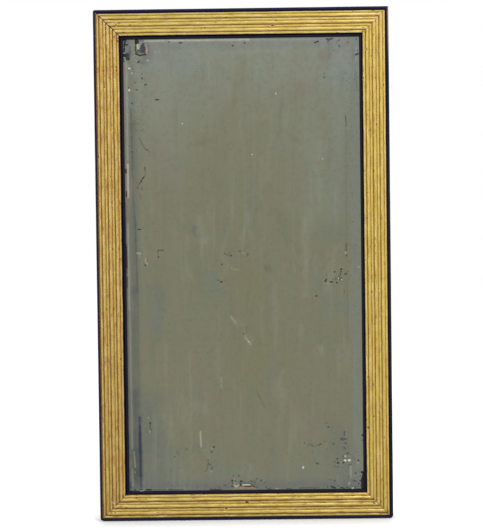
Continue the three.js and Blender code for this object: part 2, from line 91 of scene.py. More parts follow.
class Value:
    """A node's output. Sums with it add Math nodes."""

    def __init__(self, nodes, socket):
        self.nodes = nodes
        self.socket = socket

    def maths(self, operation, *operands):
        return self.nodes.node("ShaderNodeMath", {"operation": operation}, operands)

    def __add__(self, other):
        return self.maths("ADD", self, other)

    def __radd__(self, other):
        return self.maths("ADD", other, self)

    def __sub__(self, other):
        return self.maths("SUBTRACT", self, other)

    def __rsub__(self, other):
        return self.maths("SUBTRACT", other, self)

    def __mul__(self, other):
        return self.maths("MULTIPLY", self, other)

    def __rmul__(self, other):
        return self.maths("MULTIPLY", other, self)

    def largest(self, other):
        return self.maths("MAXIMUM", self, other)

    def smallest(self, other):
        return self.maths("MINIMUM", self, other)

    def size(self):
        return self.maths("ABSOLUTE", self)

    def wave(self):
        """The sine of the value, moved to lie between 0 and 1."""
        return self.maths("SINE", self) * 0.5 + 0.5

    def step(self, low, high):
        """0 below low, 1 above high and smooth between, or the other way round if low is the larger."""
        settings = {"interpolation_type": "SMOOTHSTEP"}
        return self.nodes.node("ShaderNodeMapRange", settings, [self, low, high, 0.0, 1.0])


class Nodes:
    """A node tree that is written as Python."""

    def __init__(self, tree):
        self.tree = tree

    def node(self, kind, settings=None, sockets=(), output=0):
        """Adds a node: its settings first, then its sockets, by place or by name."""
        made = self.tree.nodes.new(kind)
        for name, value in (settings or {}).items():
            setattr(made, name, value)
        places = sockets.items() if isinstance(sockets, dict) else enumerate(sockets)
        for place, value in places:
            self.join(made.inputs[place], value)
        return Value(self, made.outputs[output])

    def join(self, socket, value):
        if isinstance(value, Value):
            self.tree.links.new(value.socket, socket)
        else:
            socket.default_value = value

    def mix(self, factor, first, second):
        """A colour between two colours."""
        return self.node("ShaderNodeMix", {"data_type": "RGBA"}, {0: factor, 6: first, 7: second}, 2)

    def stretch(self, vector, scales):
        return self.node("ShaderNodeVectorMath", {"operation": "MULTIPLY"}, [vector, scales])

    def shift(self, vector, offset):
        return self.node("ShaderNodeVectorMath", {"operation": "ADD"}, [vector, offset])

    def part(self, vector, axis):
        """One of a vector's three numbers: axis 0, 1 or 2."""
        return self.node("ShaderNodeSeparateXYZ", None, [vector], axis)

    def noise(self, at, scale, detail=3.0, roughness=0.5, distortion=0.0):
        sockets = {
            "Vector": at,
            "Scale": scale,
            "Detail": detail,
            "Roughness": roughness,
            "Distortion": distortion,
        }
        return self.node("ShaderNodeTexNoise", None, sockets)

    def cells(self, at, scale, feature="F1", output=0):
        """The distance to the nearest of many scattered points, or with output 1 that point's own colour."""
        sockets = {"Vector": at, "Scale": scale}
        return self.node("ShaderNodeTexVoronoi", {"feature": feature}, sockets, output)

    def place(self):
        """Where a point of the object is, in metres."""
        return self.node("ShaderNodeTexCoord", output=3)

    def number(self, name):
        """A number that the mesh holds at each point."""
        return self.node("ShaderNodeAttribute", {"attribute_name": name}, output=2)

    def vector(self, name):
        return self.node("ShaderNodeAttribute", {"attribute_name": name}, output=1)

    def colour(self, name):
        return self.node("ShaderNodeAttribute", {"attribute_name": name}, output=0)


class Finish(Nodes):
    """A material: one Principled shader and what feeds it."""

    def __init__(self, name):
        self.material = bpy.data.materials.new(name)
        self.material.use_nodes = True
        super().__init__(self.material.node_tree)
        self.shader = self.tree.nodes["Principled BSDF"]

    def put(self, **values):
        """Sets or joins the shader's sockets: base_color=... is Base Color."""
        for name, value in values.items():
            socket = name.replace("_", " ").title().replace("Ior", "IOR")
            self.join(self.shader.inputs[socket], value)

    def relief(self, height, distance, strength=1.0):
        """Bump of the given height in metres."""
        sockets = {"Strength": strength, "Distance": distance, "Height": height}
        self.put(normal=self.node("ShaderNodeBump", None, sockets))


def paint(red, green, blue):
    """A colour as the eye sees it, 0 to 255, turned into light."""
    parts = [c / 255 for c in (red, green, blue)]
    return (*[c / 12.92 if c <= 0.04045 else ((c + 0.055) / 1.055) ** 2.4 for c in parts], 1.0)


GRAIN_LENGTH = 34
KNOT = (74, 44, 22)
GREYED_PINE = (88, 72, 54)
PORES = (64, 42, 24)


def old_pine(name, seed, along, pale=(176, 132, 82), brown=(122, 82, 46), dirt=0.5):
    """Old bare pine, its grain along x or z."""
    wood = Finish(name)
    squeeze = (1 / GRAIN_LENGTH, 1.0, 1.0) if along == "x" else (1.0, 1.0, 1 / GRAIN_LENGTH)
    at = wood.shift(wood.place(), (seed * 0.37, seed * 0.11, seed * 0.53))
    fibre_at = wood.stretch(at, squeeze)
    sway = wood.noise(fibre_at, 9.0, 2.0)
    year = wood.noise(fibre_at, 26.0, 2.0, 0.4, 1.2)
    rings = (year * 54.0 + sway * 14.0).wave()
    fibre = wood.noise(fibre_at, 900.0, 3.0, 0.6)
    stain = wood.noise(at, 5.0, 4.0, 0.6)
    pores = wood.noise(wood.stretch(at, tuple(part * part for part in squeeze)), 2600.0, 2.0)
    tone = rings * 0.5 + fibre * 0.35 + stain * 0.25
    colour = wood.mix(tone.step(0.25, 0.95), paint(*pale), paint(*brown))
    knot = wood.cells(wood.stretch(at, (1.0, 1.0, 0.55) if along == "z" else (0.55, 1.0, 1.0)), 3.4)
    knot_mask = (knot + sway * 0.05).step(0.062, 0.03)
    colour = wood.mix(knot_mask * 0.8, colour, paint(*KNOT))
    grey = stain.step(0.52, 0.75) * dirt
    colour = wood.mix(grey, colour, paint(*GREYED_PINE))
    colour = wood.mix(pores.step(0.66, 0.72) * 0.5, colour, paint(*PORES))
    wood.put(base_color=colour, roughness=0.72 + fibre * 0.2)
    wood.relief(rings * 0.4 + fibre * 0.6 - knot_mask * 0.3, 0.0006, 0.5)
    return wood.material


def dress(name, material):
    """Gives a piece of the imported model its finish."""
    piece = frame["nodes"][name]
    piece.data.materials.clear()
    piece.data.materials.append(material)
    return piece


WELD_REACH = 0.00001
SHARP_ANGLE = 40


def ease_edges(piece, width, segments=2):
    """Takes the knife edge off a piece: a weld first, since each flat comes with corners of its own."""
    weld = piece.modifiers.new("weld", "WELD")
    weld.merge_threshold = WELD_REACH
    bevel = piece.modifiers.new("eased", "BEVEL")
    bevel.width = width
    bevel.segments = segments
    bevel.limit_method = "ANGLE"
    bevel.angle_limit = math.radians(SHARP_ANGLE)
    return piece


FRAME_ARRIS = 0.0007
FRAME_GRAIN = {"stile_left": "z", "stile_right": "z", "rail_top": "x", "rail_bottom": "x"}
for seed, (member, along) in enumerate(FRAME_GRAIN.items(), 1):
    ease_edges(dress(f"back_{member}", old_pine(f"back_{member}", seed, along)), FRAME_ARRIS)

# ---- Corner pegs and mitre keys ----
# A riven hardwood peg goes through each corner lap from the back, and a thin hardwood key lies in a slot
# across each mitre of the gilding. Their end grain and cut edges are darker than the pine.

CORNERS = ("bottom_left", "top_left", "top_right", "bottom_right")
PEG_ARRIS = 0.0004
PEG_PALE = (132, 92, 50)
PEG_BROWN = (84, 54, 28)
PEG_DIRT = (52, 36, 22)


def hardwood(name, seed):
    wood = Finish(name)
    at = wood.shift(wood.place(), (seed * 0.21, 0.0, seed * 0.4))
    growth = wood.noise(wood.stretch(at, (1.0, 0.2, 1.0)), 420.0, 3.0, 0.6, 0.8)
    dirt = wood.noise(at, 120.0, 3.0)
    colour = wood.mix(growth.step(0.3, 0.7), paint(*PEG_PALE), paint(*PEG_BROWN))
    colour = wood.mix(dirt.step(0.5, 0.75) * 0.6, colour, paint(*PEG_DIRT))
    wood.put(base_color=colour, roughness=0.6 + growth * 0.25)
    wood.relief(growth, 0.0003, 0.6)
    return wood.material


for seed, corner in enumerate(CORNERS):
    ease_edges(dress(f"corner_peg_{corner}", hardwood(f"corner_peg_{corner}", seed)), PEG_ARRIS)
    dress(f"mitre_key_{corner}", hardwood(f"mitre_key_{corner}", seed + 7))

# ---- Gilt mouldings ----
# Four lengths of pine moulding worked into three large and four small reeds, coated with gesso, red bole
# and water gilding. The reeds are cut by hand, knocked and rubbed, and the mitres have opened and chipped.

SIDES = ("left", "top", "right", "bottom")
HALF_WIDTH = cad_high.x
HALF_HEIGHT = cad_high.z
MM = 1000.0
EDGE_GLUE_LINE = 0.0003
REEDS = 7
SMALL_REED = 0.0066
LARGE_REED = 0.0092
SMALL_RISE = 0.0019
LARGE_RISE = 0.0032
REED_STEPS = 13
REED_SPACING = 0.003
MITRE_OPENING = 0.00025

# Which corner is at the start and at the end of a side, and how far its mitre has opened, 0 to 1
SIDE_ENDS = {
    "left": ("bottom_left", "top_left"),
    "top": ("top_left", "top_right"),
    "right": ("top_right", "bottom_right"),
    "bottom": ("bottom_right", "bottom_left"),
}
OPENED = {"top_left": 1.0, "top_right": 0.15, "bottom_right": 0.4, "bottom_left": 0.5}


HILLS = 64


def value_noise(u, v, seed):
    """Smooth random hills of height -1 to 1 on a grid of unit squares."""
    u0 = np.floor(u).astype(int)
    v0 = np.floor(v).astype(int)
    hills = np.random.default_rng(seed).uniform(-1, 1, (HILLS, HILLS))
    fu = (u - u0) ** 2 * (3 - 2 * (u - u0))
    fv = (v - v0) ** 2 * (3 - 2 * (v - v0))

    def corner(du, dv):
        return hills[(u0 + du) % HILLS, (v0 + dv) % HILLS]

    low = corner(0, 0) * (1 - fu) + corner(1, 0) * fu
    high = corner(0, 1) * (1 - fu) + corner(1, 1) * fu
    return low * (1 - fv) + high * fv


def arch(start, width, base, rise, steps):
    """A round front as (inset, depth, valley) points; valley is 1 at its two feet and 0 on its crest."""
    half = 2 * math.atan(2 * rise / width)
    radius = width / (2 * math.sin(half))
    points = []
    for step in range(steps + 1):
        angle = half * (2 * step / steps - 1)
        depth = base + radius * (math.cos(angle) - math.cos(half))
        valley = 1 - (depth - base) / rise
        points.append((start + width / 2 + radius * math.sin(angle), depth, valley))
    return points


def in_place(side, inset, depth, along):
    """From a side's own inset, depth and along to the object's x, y and z."""
    if side == "left":
        return inset - HALF_WIDTH, -depth, along
    if side == "right":
        return HALF_WIDTH - inset, -depth, -along
    if side == "top":
        return along, -depth, HALF_HEIGHT - inset
    return -along, -depth, inset - HALF_HEIGHT


def half_run(side):
    return HALF_HEIGHT if side in ("left", "right") else HALF_WIDTH


NEAR_MITRE = (0.0, 0.0004, 0.0009, 0.0015, 0.0022, 0.003, 0.004, 0.0055, 0.0075)
EVEN_FROM = 0.01


def stations(run, spacing):
    """Places along a side, as a share of its half length, closer together near the two mitres."""
    middle = np.linspace(EVEN_FROM, run, round(run / spacing))
    half = 1 - np.concatenate([NEAR_MITRE, middle]) / run
    return np.concatenate([-half[:-1], half[::-1]])


def put_numbers(mesh, **numbers):
    """Keeps a number, or a vector of three, at each point of a mesh."""
    for name, values in numbers.items():
        values = np.asarray(values, dtype=np.float32)
        if values.ndim > 1 and values.shape[-1] == 3:
            mesh.attributes.new(name, "FLOAT_VECTOR", "POINT").data.foreach_set("vector", values.ravel())
        else:
            mesh.attributes.new(name, "FLOAT", "POINT").data.foreach_set("value", values.ravel())


def mitred_length(name, side, section, worn, spacing, extras=None):
    """A closed length of moulding, mitred at both ends. worn(inset, depth, along, to_mitre, opened) gives
    how far each point has sunk towards the wall and moved across."""
    run = half_run(side)
    inset, depth, valley = (np.array(part) for part in zip(*section))
    share = stations(run, spacing)[:, None]
    start, end = (OPENED[corner] for corner in SIDE_ENDS[side])
    opened = np.where(share < 0, start, end) * np.ones_like(inset)
    opening = MITRE_OPENING * opened / math.sqrt(2)
    reach = run - inset - opening
    along = share * reach
    to_mitre = (reach - np.abs(along)) / math.sqrt(2)
    inset, depth, valley = (np.broadcast_to(part, along.shape) for part in (inset, depth, valley))
    sunk, across = worn(inset, depth, along, to_mitre, opened)
    limit = run - inset - across - opening
    along = np.clip(along, -limit, limit)
    x, y, z = in_place(side, inset + across, depth - sunk, along)
    count, points = along.shape
    here = np.arange(count * points).reshape(count, points)
    beside = np.roll(here, -1, axis=1)
    quads = np.stack([here[:-1], beside[:-1], beside[1:], here[1:]], -1).reshape(-1, 4)
    faces = quads.tolist() + [here[0][::-1].tolist(), here[-1].tolist()]
    mesh = bpy.data.meshes.new(name)
    mesh.from_pydata(np.stack([x, y, z], -1).reshape(-1, 3).tolist(), [], faces)
    run_at = np.stack([along, inset, np.zeros_like(along)], -1).reshape(-1, 3)
    put_numbers(mesh, valley=valley, to_mitre=to_mitre, opened=opened, sunk=sunk, run=run_at)
    if extras:
        put_numbers(mesh, **extras(inset, along))
    mesh.shade_smooth()
    piece = bpy.data.objects.new(name, mesh)
    bpy.context.scene.collection.objects.link(piece)
    return piece


def stand_for(node, piece, material):
    """Puts a finished piece on the body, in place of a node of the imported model."""
    piece.data.materials.append(material)
    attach(piece, frame["nodes"][node]["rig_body"])
    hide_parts(node)


gilt_low, gilt_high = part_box("gilt_moulding_left")
GILT_START = gilt_low.x + HALF_WIDTH
GILT_END = gilt_high.x + HALF_WIDTH
GILT_BACK = -gilt_high.y
GROOVE = -gilt_low.y - LARGE_RISE
REED_WIDTHS = [LARGE_REED if reed % 2 else SMALL_REED for reed in range(REEDS)]
REED_WIDTHS[0] -= EDGE_GLUE_LINE
REED_STARTS = [GILT_START + sum(REED_WIDTHS[:reed]) for reed in range(REEDS)]


def reeded_section():
    middle = (GILT_BACK + GROOVE) / 2
    section = [(GILT_START, GILT_BACK, 1.0), (GILT_START, middle, 1.0)]
    for reed, (start, width) in enumerate(zip(REED_STARTS, REED_WIDTHS)):
        front = arch(start, width, GROOVE, LARGE_RISE if reed % 2 else SMALL_RISE, REED_STEPS)
        section += front if reed == 0 else front[1:]
    return section + [(GILT_END, middle, 1.0), (GILT_END, GILT_BACK, 1.0)]


GROOVE_SHADE_REACH = 0.0017
LARGE_REEDS = range(1, REEDS, 2)
SMALL_REEDS = range(0, REEDS, 2)


def reed_extras(side):
    """Where painted shade lies: in the groove under or left of each large reed, away from the light. And
    which reeds are small ones.
    """
    outer = side in ("left", "bottom")
    feet = [REED_STARTS[reed] + (0 if outer else REED_WIDTHS[reed]) for reed in LARGE_REEDS]
    slims = [(REED_STARTS[reed], REED_STARTS[reed] + REED_WIDTHS[reed]) for reed in SMALL_REEDS]

    def extras(inset, along):
        groove_shade = sum(np.exp(-(((inset - foot) / GROOVE_SHADE_REACH) ** 2)) for foot in feet)
        slim = sum((inset > start) & (inset < end) for start, end in slims)
        return {"groove_shade": groove_shade, "slim": slim}

    return extras


# Knocks that show: mm along from the side's middle, mm in from the edge, radius and depth. Along runs up
# the left side, down the right one, to the right on the top and to the left below.
KNOCKS = {
    "top": ((74, 42, 2.6, 1.2), (-96, 33, 2.2, 0.7), (-112, 47, 1.8, 0.6), (182, 30, 2.0, 0.6)),
    "right": ((-106, 55, 2.4, 1.0), (385, 57, 2.6, 1.2), (120, 24, 2.2, 0.6), (-300, 38, 2.0, 0.6)),
    "bottom": ((-1, 42, 3.4, 1.3), (48, 28, 2.6, 1.1), (-150, 36, 2.0, 0.7), (210, 20, 2.4, 0.8)),
    "left": ((210, 36, 2.4, 0.8), (-60, 20, 2.2, 0.8), (-330, 46, 2.4, 0.7), (420, 26, 2.2, 0.9)),
}
RANDOM_KNOCKS = 26

# How far a reed's front has shrunk, wavers, trembles and strays sideways, and how far its mitres have
# broken, in metres
SHRUNK = 0.0002
WAVER = 0.00012
TREMBLE = 0.00006
SIDE_STRAY = 0.0002
RAGGED_LIP = 0.0012
LIP_LOSS = 0.0007
CHIP_REACH = 0.006
CHIP_LOSS = 0.0009


def reed_wear(side, seed):
    rng = np.random.default_rng(seed)
    knocks = [tuple(part / MM for part in knock) for knock in KNOCKS[side]]
    for _ in range(RANDOM_KNOCKS):
        along = rng.uniform(-half_run(side), half_run(side)) * 0.97
        inset = rng.uniform(GILT_START + 0.003, GILT_END - 0.003)
        knocks.append((along, inset, rng.uniform(0.001, 0.0024), rng.uniform(0.0002, 0.0006)))

    def worn(inset, depth, along, to_mitre, opened):
        front = depth > GROOVE - 0.0001
        waver = value_noise(along / 0.034, inset / 0.0079, seed) * WAVER
        tremble = value_noise(along / 0.009, inset / 0.004, seed + 1) * TREMBLE
        sunk = SHRUNK + waver + tremble
        for k_along, k_inset, radius, deep in knocks:
            away = ((along - k_along) / 1.5) ** 2 + (inset - k_inset) ** 2
            sunk = sunk + deep * np.exp(-away / radius**2)
        ragged = RAGGED_LIP * (1 + 0.9 * value_noise(inset / 0.0035, along / 0.004, seed + 2))
        lip = np.clip(1 - to_mitre / np.maximum(ragged, 0.0003), 0, 1)
        chip = np.clip(value_noise(inset / 0.0024, along / 0.0021, seed + 4) * 1.6 - 0.3, 0, 1)
        chip = chip * np.clip(1 - to_mitre / CHIP_REACH, 0, 1)
        sunk = sunk + (lip * LIP_LOSS + chip * CHIP_LOSS) * opened
        across = value_noise(along / 0.05, inset / 0.012, seed + 3) * SIDE_STRAY
        return np.where(front, np.maximum(sunk, 0), 0), np.where(front, across, 0)

    return worn


FLAKES = 240.0
PALE_GOLD_HIGHLIGHT = (224, 202, 146)
DULL_GOLD = (154, 120, 44)
SHADED_HOLLOW_GOLD = (146, 104, 38)
BOLE = (172, 108, 58)
PAINTED_GROOVE_SHADE = (100, 56, 18)
GESSO_RIM = (226, 196, 150)
GESSO_CHIP = (230, 200, 160)
BOLE_CHIP = (108, 66, 34)
KNOCKED_WOOD = (84, 42, 22)
MITRE_STAIN = (112, 62, 48)
OPEN_JOINT = (84, 44, 34)
LAPPED_BLACK = (22, 23, 38)


def gilding(side, seed, yellow, olive, peach, groove_shade_strength, rubbed, lap, inner_lap):
    """Water gilding over red bole. rubbed is how much of the bole shows. Up to lap and again from inner_lap,
    in mm in from the outside, the black beside it has been brushed over the gold. Shade is painted into its
    grooves, most in the groove under or left of each large reed."""
    gold = Finish(f"gilding_{side}")
    run = gold.shift(gold.vector("run"), (seed * 1.7, seed * 0.3, 0.0))
    valley = gold.number("valley")
    slim = gold.number("slim")
    cloud = gold.noise(gold.stretch(run, (0.2, 1.0, 1.0)), 90.0, 2.0, 0.5)
    tint = gold.noise(gold.stretch(run, (0.16, 1.0, 1.0)), 240.0, 3.0, 0.6)
    streak = gold.noise(gold.stretch(run, (0.08, 1.0, 1.0)), 520.0, 3.0, 0.6)
    mottle = gold.noise(gold.stretch(run, (0.6, 1.0, 1.0)), 210.0, 4.0, 0.65)
    fleck = gold.noise(run, 520.0, 3.0, 0.6)
    colour = gold.mix((cloud * 0.6 + streak * 0.4).step(0.4, 0.6), paint(*yellow), paint(*olive))
    pink = (tint * 0.7 + cloud * 0.3 + slim * 0.03 + rubbed * 0.1).step(0.56, 0.68)
    colour = gold.mix(pink * 0.6, colour, paint(*peach))
    # Pale cream streaks, fewer in the grooves: rubbed burnished gold, and a painted highlight on the crests
    pale = (streak * 0.6 + fleck * 0.4 - valley * 0.12).step(0.48, 0.62)
    colour = gold.mix(pale * 0.6, colour, paint(*PALE_GOLD_HIGHLIGHT))
    dull = (mottle * 0.6 + fleck * 0.4).step(0.5, 0.36)
    colour = gold.mix(dull * 0.4, colour, paint(*DULL_GOLD))
    bole = (tint * 0.5 + mottle * 0.5 + valley * 0.06 + rubbed * 0.1).step(0.58, 0.66)
    colour = gold.mix(bole * 0.45, colour, paint(*BOLE))
    # Darker gold down in every groove: painted shade, and grime
    shaded_hollow = (valley * 0.9 + (mottle - 0.5) * 0.9 + (tint - 0.5) * 0.7).step(0.3, 1.05)
    colour = gold.mix(shaded_hollow * 0.55, colour, paint(*SHADED_HOLLOW_GOLD))
    # Painted shade in the groove under or left of each large reed, stronger on some sides than others
    shaded_groove = (gold.number("groove_shade") + (tint - 0.5) * 1.8 + 0.35).step(0.25, 1.1) * groove_shade_strength
    colour = gold.mix(shaded_groove, colour, paint(*PAINTED_GROOVE_SHADE))
    sunk = gold.number("sunk") * MM
    knock_rim = sunk.step(0.36, 0.5) * fleck.step(0.44, 0.56)
    colour = gold.mix(knock_rim * 0.6, colour, paint(*GESSO_RIM))
    knock = (sunk + (fleck - 0.5) * 0.6).step(0.62, 0.95)
    colour = gold.mix(knock * 0.8, colour, paint(*KNOCKED_WOOD))
    opened = gold.number("opened")
    from_mitre = gold.number("to_mitre") * MM
    near = (from_mitre + (cloud - 0.5) * 20.0).step(30.0, 4.0) * (opened * 0.5 + 0.6)
    flake_at = gold.stretch(run, (0.5, 1.0, 0.0))
    flake = gold.cells(flake_at, FLAKES)
    draw = gold.cells(flake_at, FLAKES, output=1)
    chosen = (near * 0.42 + valley * 0.08 + 0.02 - gold.part(draw, 0)).step(0.0, 0.03)
    chip = (flake + (fleck - 0.5) * 0.8).step(0.46, 0.3) * chosen
    dark_chip = (gold.part(draw, 1) - near + 0.6).step(0.45, 0.55)
    chip_colour = gold.mix(dark_chip, paint(*GESSO_CHIP), paint(*BOLE_CHIP))
    colour = gold.mix(chip * 0.75, colour, chip_colour)
    stained = (near * (valley * 0.7 + mottle * 0.6)).step(0.5, 1.0)
    colour = gold.mix(stained * 0.55, colour, paint(*MITRE_STAIN))
    joint = (from_mitre - opened * 0.6 - mottle * 3.2 + 1.4).step(0.6, -0.3)
    joint = joint * (mottle + opened * 0.1).step(0.46, 0.6) * (opened * 0.3 + 0.5)
    colour = gold.mix(joint, colour, paint(*OPEN_JOINT))
    from_edge = gold.part(gold.vector("run"), 1) * MM + (tint - 0.5) * 0.8
    lapped = from_edge.step(lap + 0.3, lap - 0.3).largest(from_edge.step(inner_lap - 0.3, inner_lap + 0.3))
    colour = gold.mix(lapped, colour, paint(*LAPPED_BLACK))
    lost = shaded_groove * 0.6 + bole * 0.4 + joint + chip + knock + lapped + shaded_hollow * 0.2
    lost = lost.smallest(1.0)
    gold.put(base_color=colour, metallic=0.92 - lost * 0.8, roughness=0.4 + cloud * 0.12 + lost * 0.3)
    gold.put(specular_ior_level=0.12)
    gold.relief(mottle * 0.6 + streak * 0.3 + fleck * 0.3 - chip * 0.5, 0.0005, 0.35)
    return gold.material


# Yellow, olive and peach golds, how strongly the painted groove shade and the bole show, and where the black
# laps over, in mm
GOLDS = {
    "left": ((198, 174, 102), (176, 150, 66), (206, 158, 112), 0.38, 0.6, 7.5, 59.6),
    "top": ((214, 192, 116), (192, 168, 74), (222, 186, 134), 0.46, 0.25, 9.9, 60.7),
    "right": ((212, 188, 106), (194, 168, 72), (216, 174, 116), 0.34, 0.3, 9.4, 61.1),
    "bottom": ((216, 192, 116), (196, 170, 76), (220, 184, 134), 0.7, 0.4, 7.7, 62.0),
}
for seed, side in enumerate(SIDES):
    worn = reed_wear(side, 10 * seed + 3)
    name = f"gilt_reeds_{side}"
    reeds = mitred_length(name, side, reeded_section(), worn, REED_SPACING, reed_extras(side))
    stand_for(f"gilt_moulding_{side}", reeds, gilding(side, seed, *GOLDS[side]))

# ---- Ebonised edges ----
# A narrow pine strip round the outside, stained and varnished black, mitred at the corners and glued on. Its
# corners are blunted, it is rubbed to bare wood below the top right one, and gold leaf laps it on the left.

edge_low, edge_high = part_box("ebonised_edge_left")
EDGE_WIDTH = edge_high.x - edge_low.x
EDGE_FRONT = -edge_low.y
EDGE_RISE = 0.003
EDGE_STEPS = 12
EDGE_SPACING = 0.005
BLUNTED = {"top_left": 0.0055, "top_right": 0.002, "bottom_right": 0.0085, "bottom_left": 0.009}
ARC_AT_MITRE = 1 - 1 / math.sqrt(2)
LEAF_ON_LEFT = 5.9
# Each side's black stain; the top's bluer black is a painted sheen of the light above
EDGE_BLACKS_AND_SHEEN = {"left": (18, 14, 28), "top": (20, 22, 62), "right": (14, 18, 34), "bottom": (14, 16, 42)}
CLOUDED_BLACK = (24, 20, 40)
WORN_BLACK = (80, 62, 62)
DUSTY_BLACK = (78, 78, 98)
BARE_STRIP_PALE = (188, 138, 116)
BARE_STRIP_BROWN = (156, 104, 82)
OVERLAID_LEAF = (186, 140, 88)

# The bare streak: how far down from the top, in from the outside and out from the wall it fades, in mm
BARE_HEIGHT = (-90.0, 0.0)
BARE_INSET = (4.8, 3.4)
BARE_FROM_WALL = (22.0, 30.0)


def edge_section():
    base = EDGE_FRONT - EDGE_RISE
    front = arch(0.0, EDGE_WIDTH, base, EDGE_RISE, EDGE_STEPS)
    outside = [(0.0, base * part, 0.5) for part in (0.0, 0.04, 0.35, 0.7, 0.96)]
    inside = [(EDGE_WIDTH, base * part, 1.0) for part in (0.9, 0.3, 0.0)]
    return outside + front + inside


EDGE_WOBBLE = 0.00016
CORNER_SUNK = 0.4


def edge_wear(side, seed):
    start, end = (BLUNTED[corner] for corner in SIDE_ENDS[side])

    def worn(inset, depth, along, to_mitre, opened):
        wobble = np.abs(value_noise(along / 0.06, inset / 0.02, seed)) * EDGE_WOBBLE
        nibble = 0.95 + 0.25 * value_noise(along / 0.004, depth / 0.006, seed + 5)
        blunt = np.where(along < 0, start, end) * nibble
        from_corner = np.maximum(half_run(side) - np.abs(along), blunt * ARC_AT_MITRE)
        into = np.clip(blunt - from_corner, 0, None)
        cut = blunt - np.sqrt(np.maximum(blunt**2 - into**2, 0))
        outer = np.clip(1 - inset / (EDGE_WIDTH * 0.8), 0, 1)
        sunk = (SHRUNK + wobble + cut * CORNER_SUNK) * (depth > EDGE_FRONT * 0.8)
        return sunk, (cut + wobble) * outer

    return worn


def ebony(name, seed, black_paint, bare_corner=False, dust=0.5, leaf=None):
    """Black stain and varnish over pine. With bare_corner it has a bare streak below the top right corner.
    From leaf on, in mm in from the outside, gold lies over it."""
    black = Finish(name)
    plain_run = black.vector("run")
    run = black.shift(plain_run, (seed * 0.9, seed * 0.2, 0.0))
    at = black.place()
    brush = black.noise(black.stretch(run, (0.06, 1.0, 1.0)), 700.0, 3.0, 0.6)
    cloud = black.noise(run, 14.0, 3.0, 0.6)
    fine = black.noise(at, 420.0, 4.0, 0.65)
    colour = black.mix(cloud.step(0.35, 0.7), paint(*black_paint), paint(*CLOUDED_BLACK))
    worn = (fine * 0.7 + cloud * 0.5).step(0.78, 0.84)
    colour = black.mix(worn * 0.4, colour, paint(*WORN_BLACK))
    dusty = (fine * 0.5 + brush * 0.6).step(0.62, 0.8) * dust
    colour = black.mix(dusty * 0.22, colour, paint(*DUSTY_BLACK))
    lost = worn
    if bare_corner:
        height = black.part(at, 2) * MM - HALF_HEIGHT * MM
        inset = black.part(plain_run, 1) * MM
        rubbed = (height + fine * 110.0).step(*BARE_HEIGHT) * (inset + fine * 2.0).step(*BARE_INSET)
        from_wall = black.part(at, 1) * -MM + (brush - 0.5) * 22.0
        rubbed = rubbed * (fine * 0.7 + brush * 0.5).step(0.44, 0.56) * from_wall.step(*BARE_FROM_WALL)
        bare = black.mix(brush.step(0.4, 0.6), paint(*BARE_STRIP_PALE), paint(*BARE_STRIP_BROWN))
        colour = black.mix(rubbed * 0.9, colour, bare)
        lost = lost.largest(rubbed)
    if leaf:
        leafed = (black.part(plain_run, 1) * MM + (fine - 0.5) * 2.0).step(leaf - 0.5, leaf + 0.5)
        colour = black.mix(leafed * 0.85, colour, paint(*OVERLAID_LEAF))
        black.put(metallic=leafed * 0.5)
        lost = lost.largest(leafed)
    black.put(base_color=colour, roughness=0.42 + brush * 0.14 + lost * 0.3, specular_ior_level=0.15)
    black.relief(brush * 0.7 + fine * 0.3 - lost * 0.6, 0.0003, 0.5)
    return black.material


for seed, side in enumerate(SIDES):
    worn = edge_wear(side, 60 + seed)
    strip = mitred_length(f"black_edge_{side}", side, edge_section(), worn, EDGE_SPACING)
    leaf = LEAF_ON_LEFT if side == "left" else None
    finish = ebony(f"black_edge_{side}", seed, EDGE_BLACKS_AND_SHEEN[side], side == "right", leaf=leaf)
    stand_for(f"ebonised_edge_{side}", strip, finish)

# ---- Ebonised slips ----
# A thin rounded fillet of pine, stained and varnished black like the edge, mitred at the corners and glued
# inside the gilding. Its back holds the plate's rim from the front.

slip_low, slip_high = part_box("ebonised_slip_left")
SLIP_START = slip_low.x + HALF_WIDTH
SLIP_END = slip_high.x + HALF_WIDTH
SLIP_BACK = -slip_high.y
SLIP_FRONT = -slip_low.y
SLIP_RISE = 0.0022
SLIP_SHRUNK = 0.0001
SLIP_BLACK = (14, 17, 34)


def slip_section():
    base = SLIP_FRONT - SLIP_RISE
    front = arch(SLIP_START, SLIP_END - SLIP_START, base, SLIP_RISE, EDGE_STEPS)
    middle = (SLIP_BACK + base) / 2
    back = [(SLIP_END, middle, 1.0), (SLIP_END, SLIP_BACK, 1.0)]
    return [(SLIP_START, SLIP_BACK, 1.0), (SLIP_START, middle, 1.0), *front, *back]


def slip_wear(seed):
    def worn(inset, depth, along, to_mitre, opened):
        wobble = np.abs(value_noise(along / 0.05, inset / 0.02, seed)) * EDGE_WOBBLE
        return (SLIP_SHRUNK + wobble) * (depth > SLIP_FRONT - SLIP_RISE), np.zeros_like(along)

    return worn


for seed, side in enumerate(SIDES):
    slip = mitred_length(f"black_slip_{side}", side, slip_section(), slip_wear(90 + seed), EDGE_SPACING)
    finish = ebony(f"black_slip_{side}", seed + 20, SLIP_BLACK, dust=0.3)
    stand_for(f"ebonised_slip_{side}", slip, finish)

# ---- Mirror plate ----
# Old polished glass with a shallow bevel, its tin and mercury silvering seen through it: grey green, with
# foxing, and with silver lost at two corners and at the foot. Its paler top, greyer foot and dim bevel are
# painted reflections, and painted shadows of the slips lie along its rim.

plate_low, plate_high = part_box("mirror_plate")
BEVEL_WIDTH = 0.035
BEVEL_DROP = 0.0012
PAINT_STEP = 0.0018
PLATE_EDGE_EASE = 0.0004
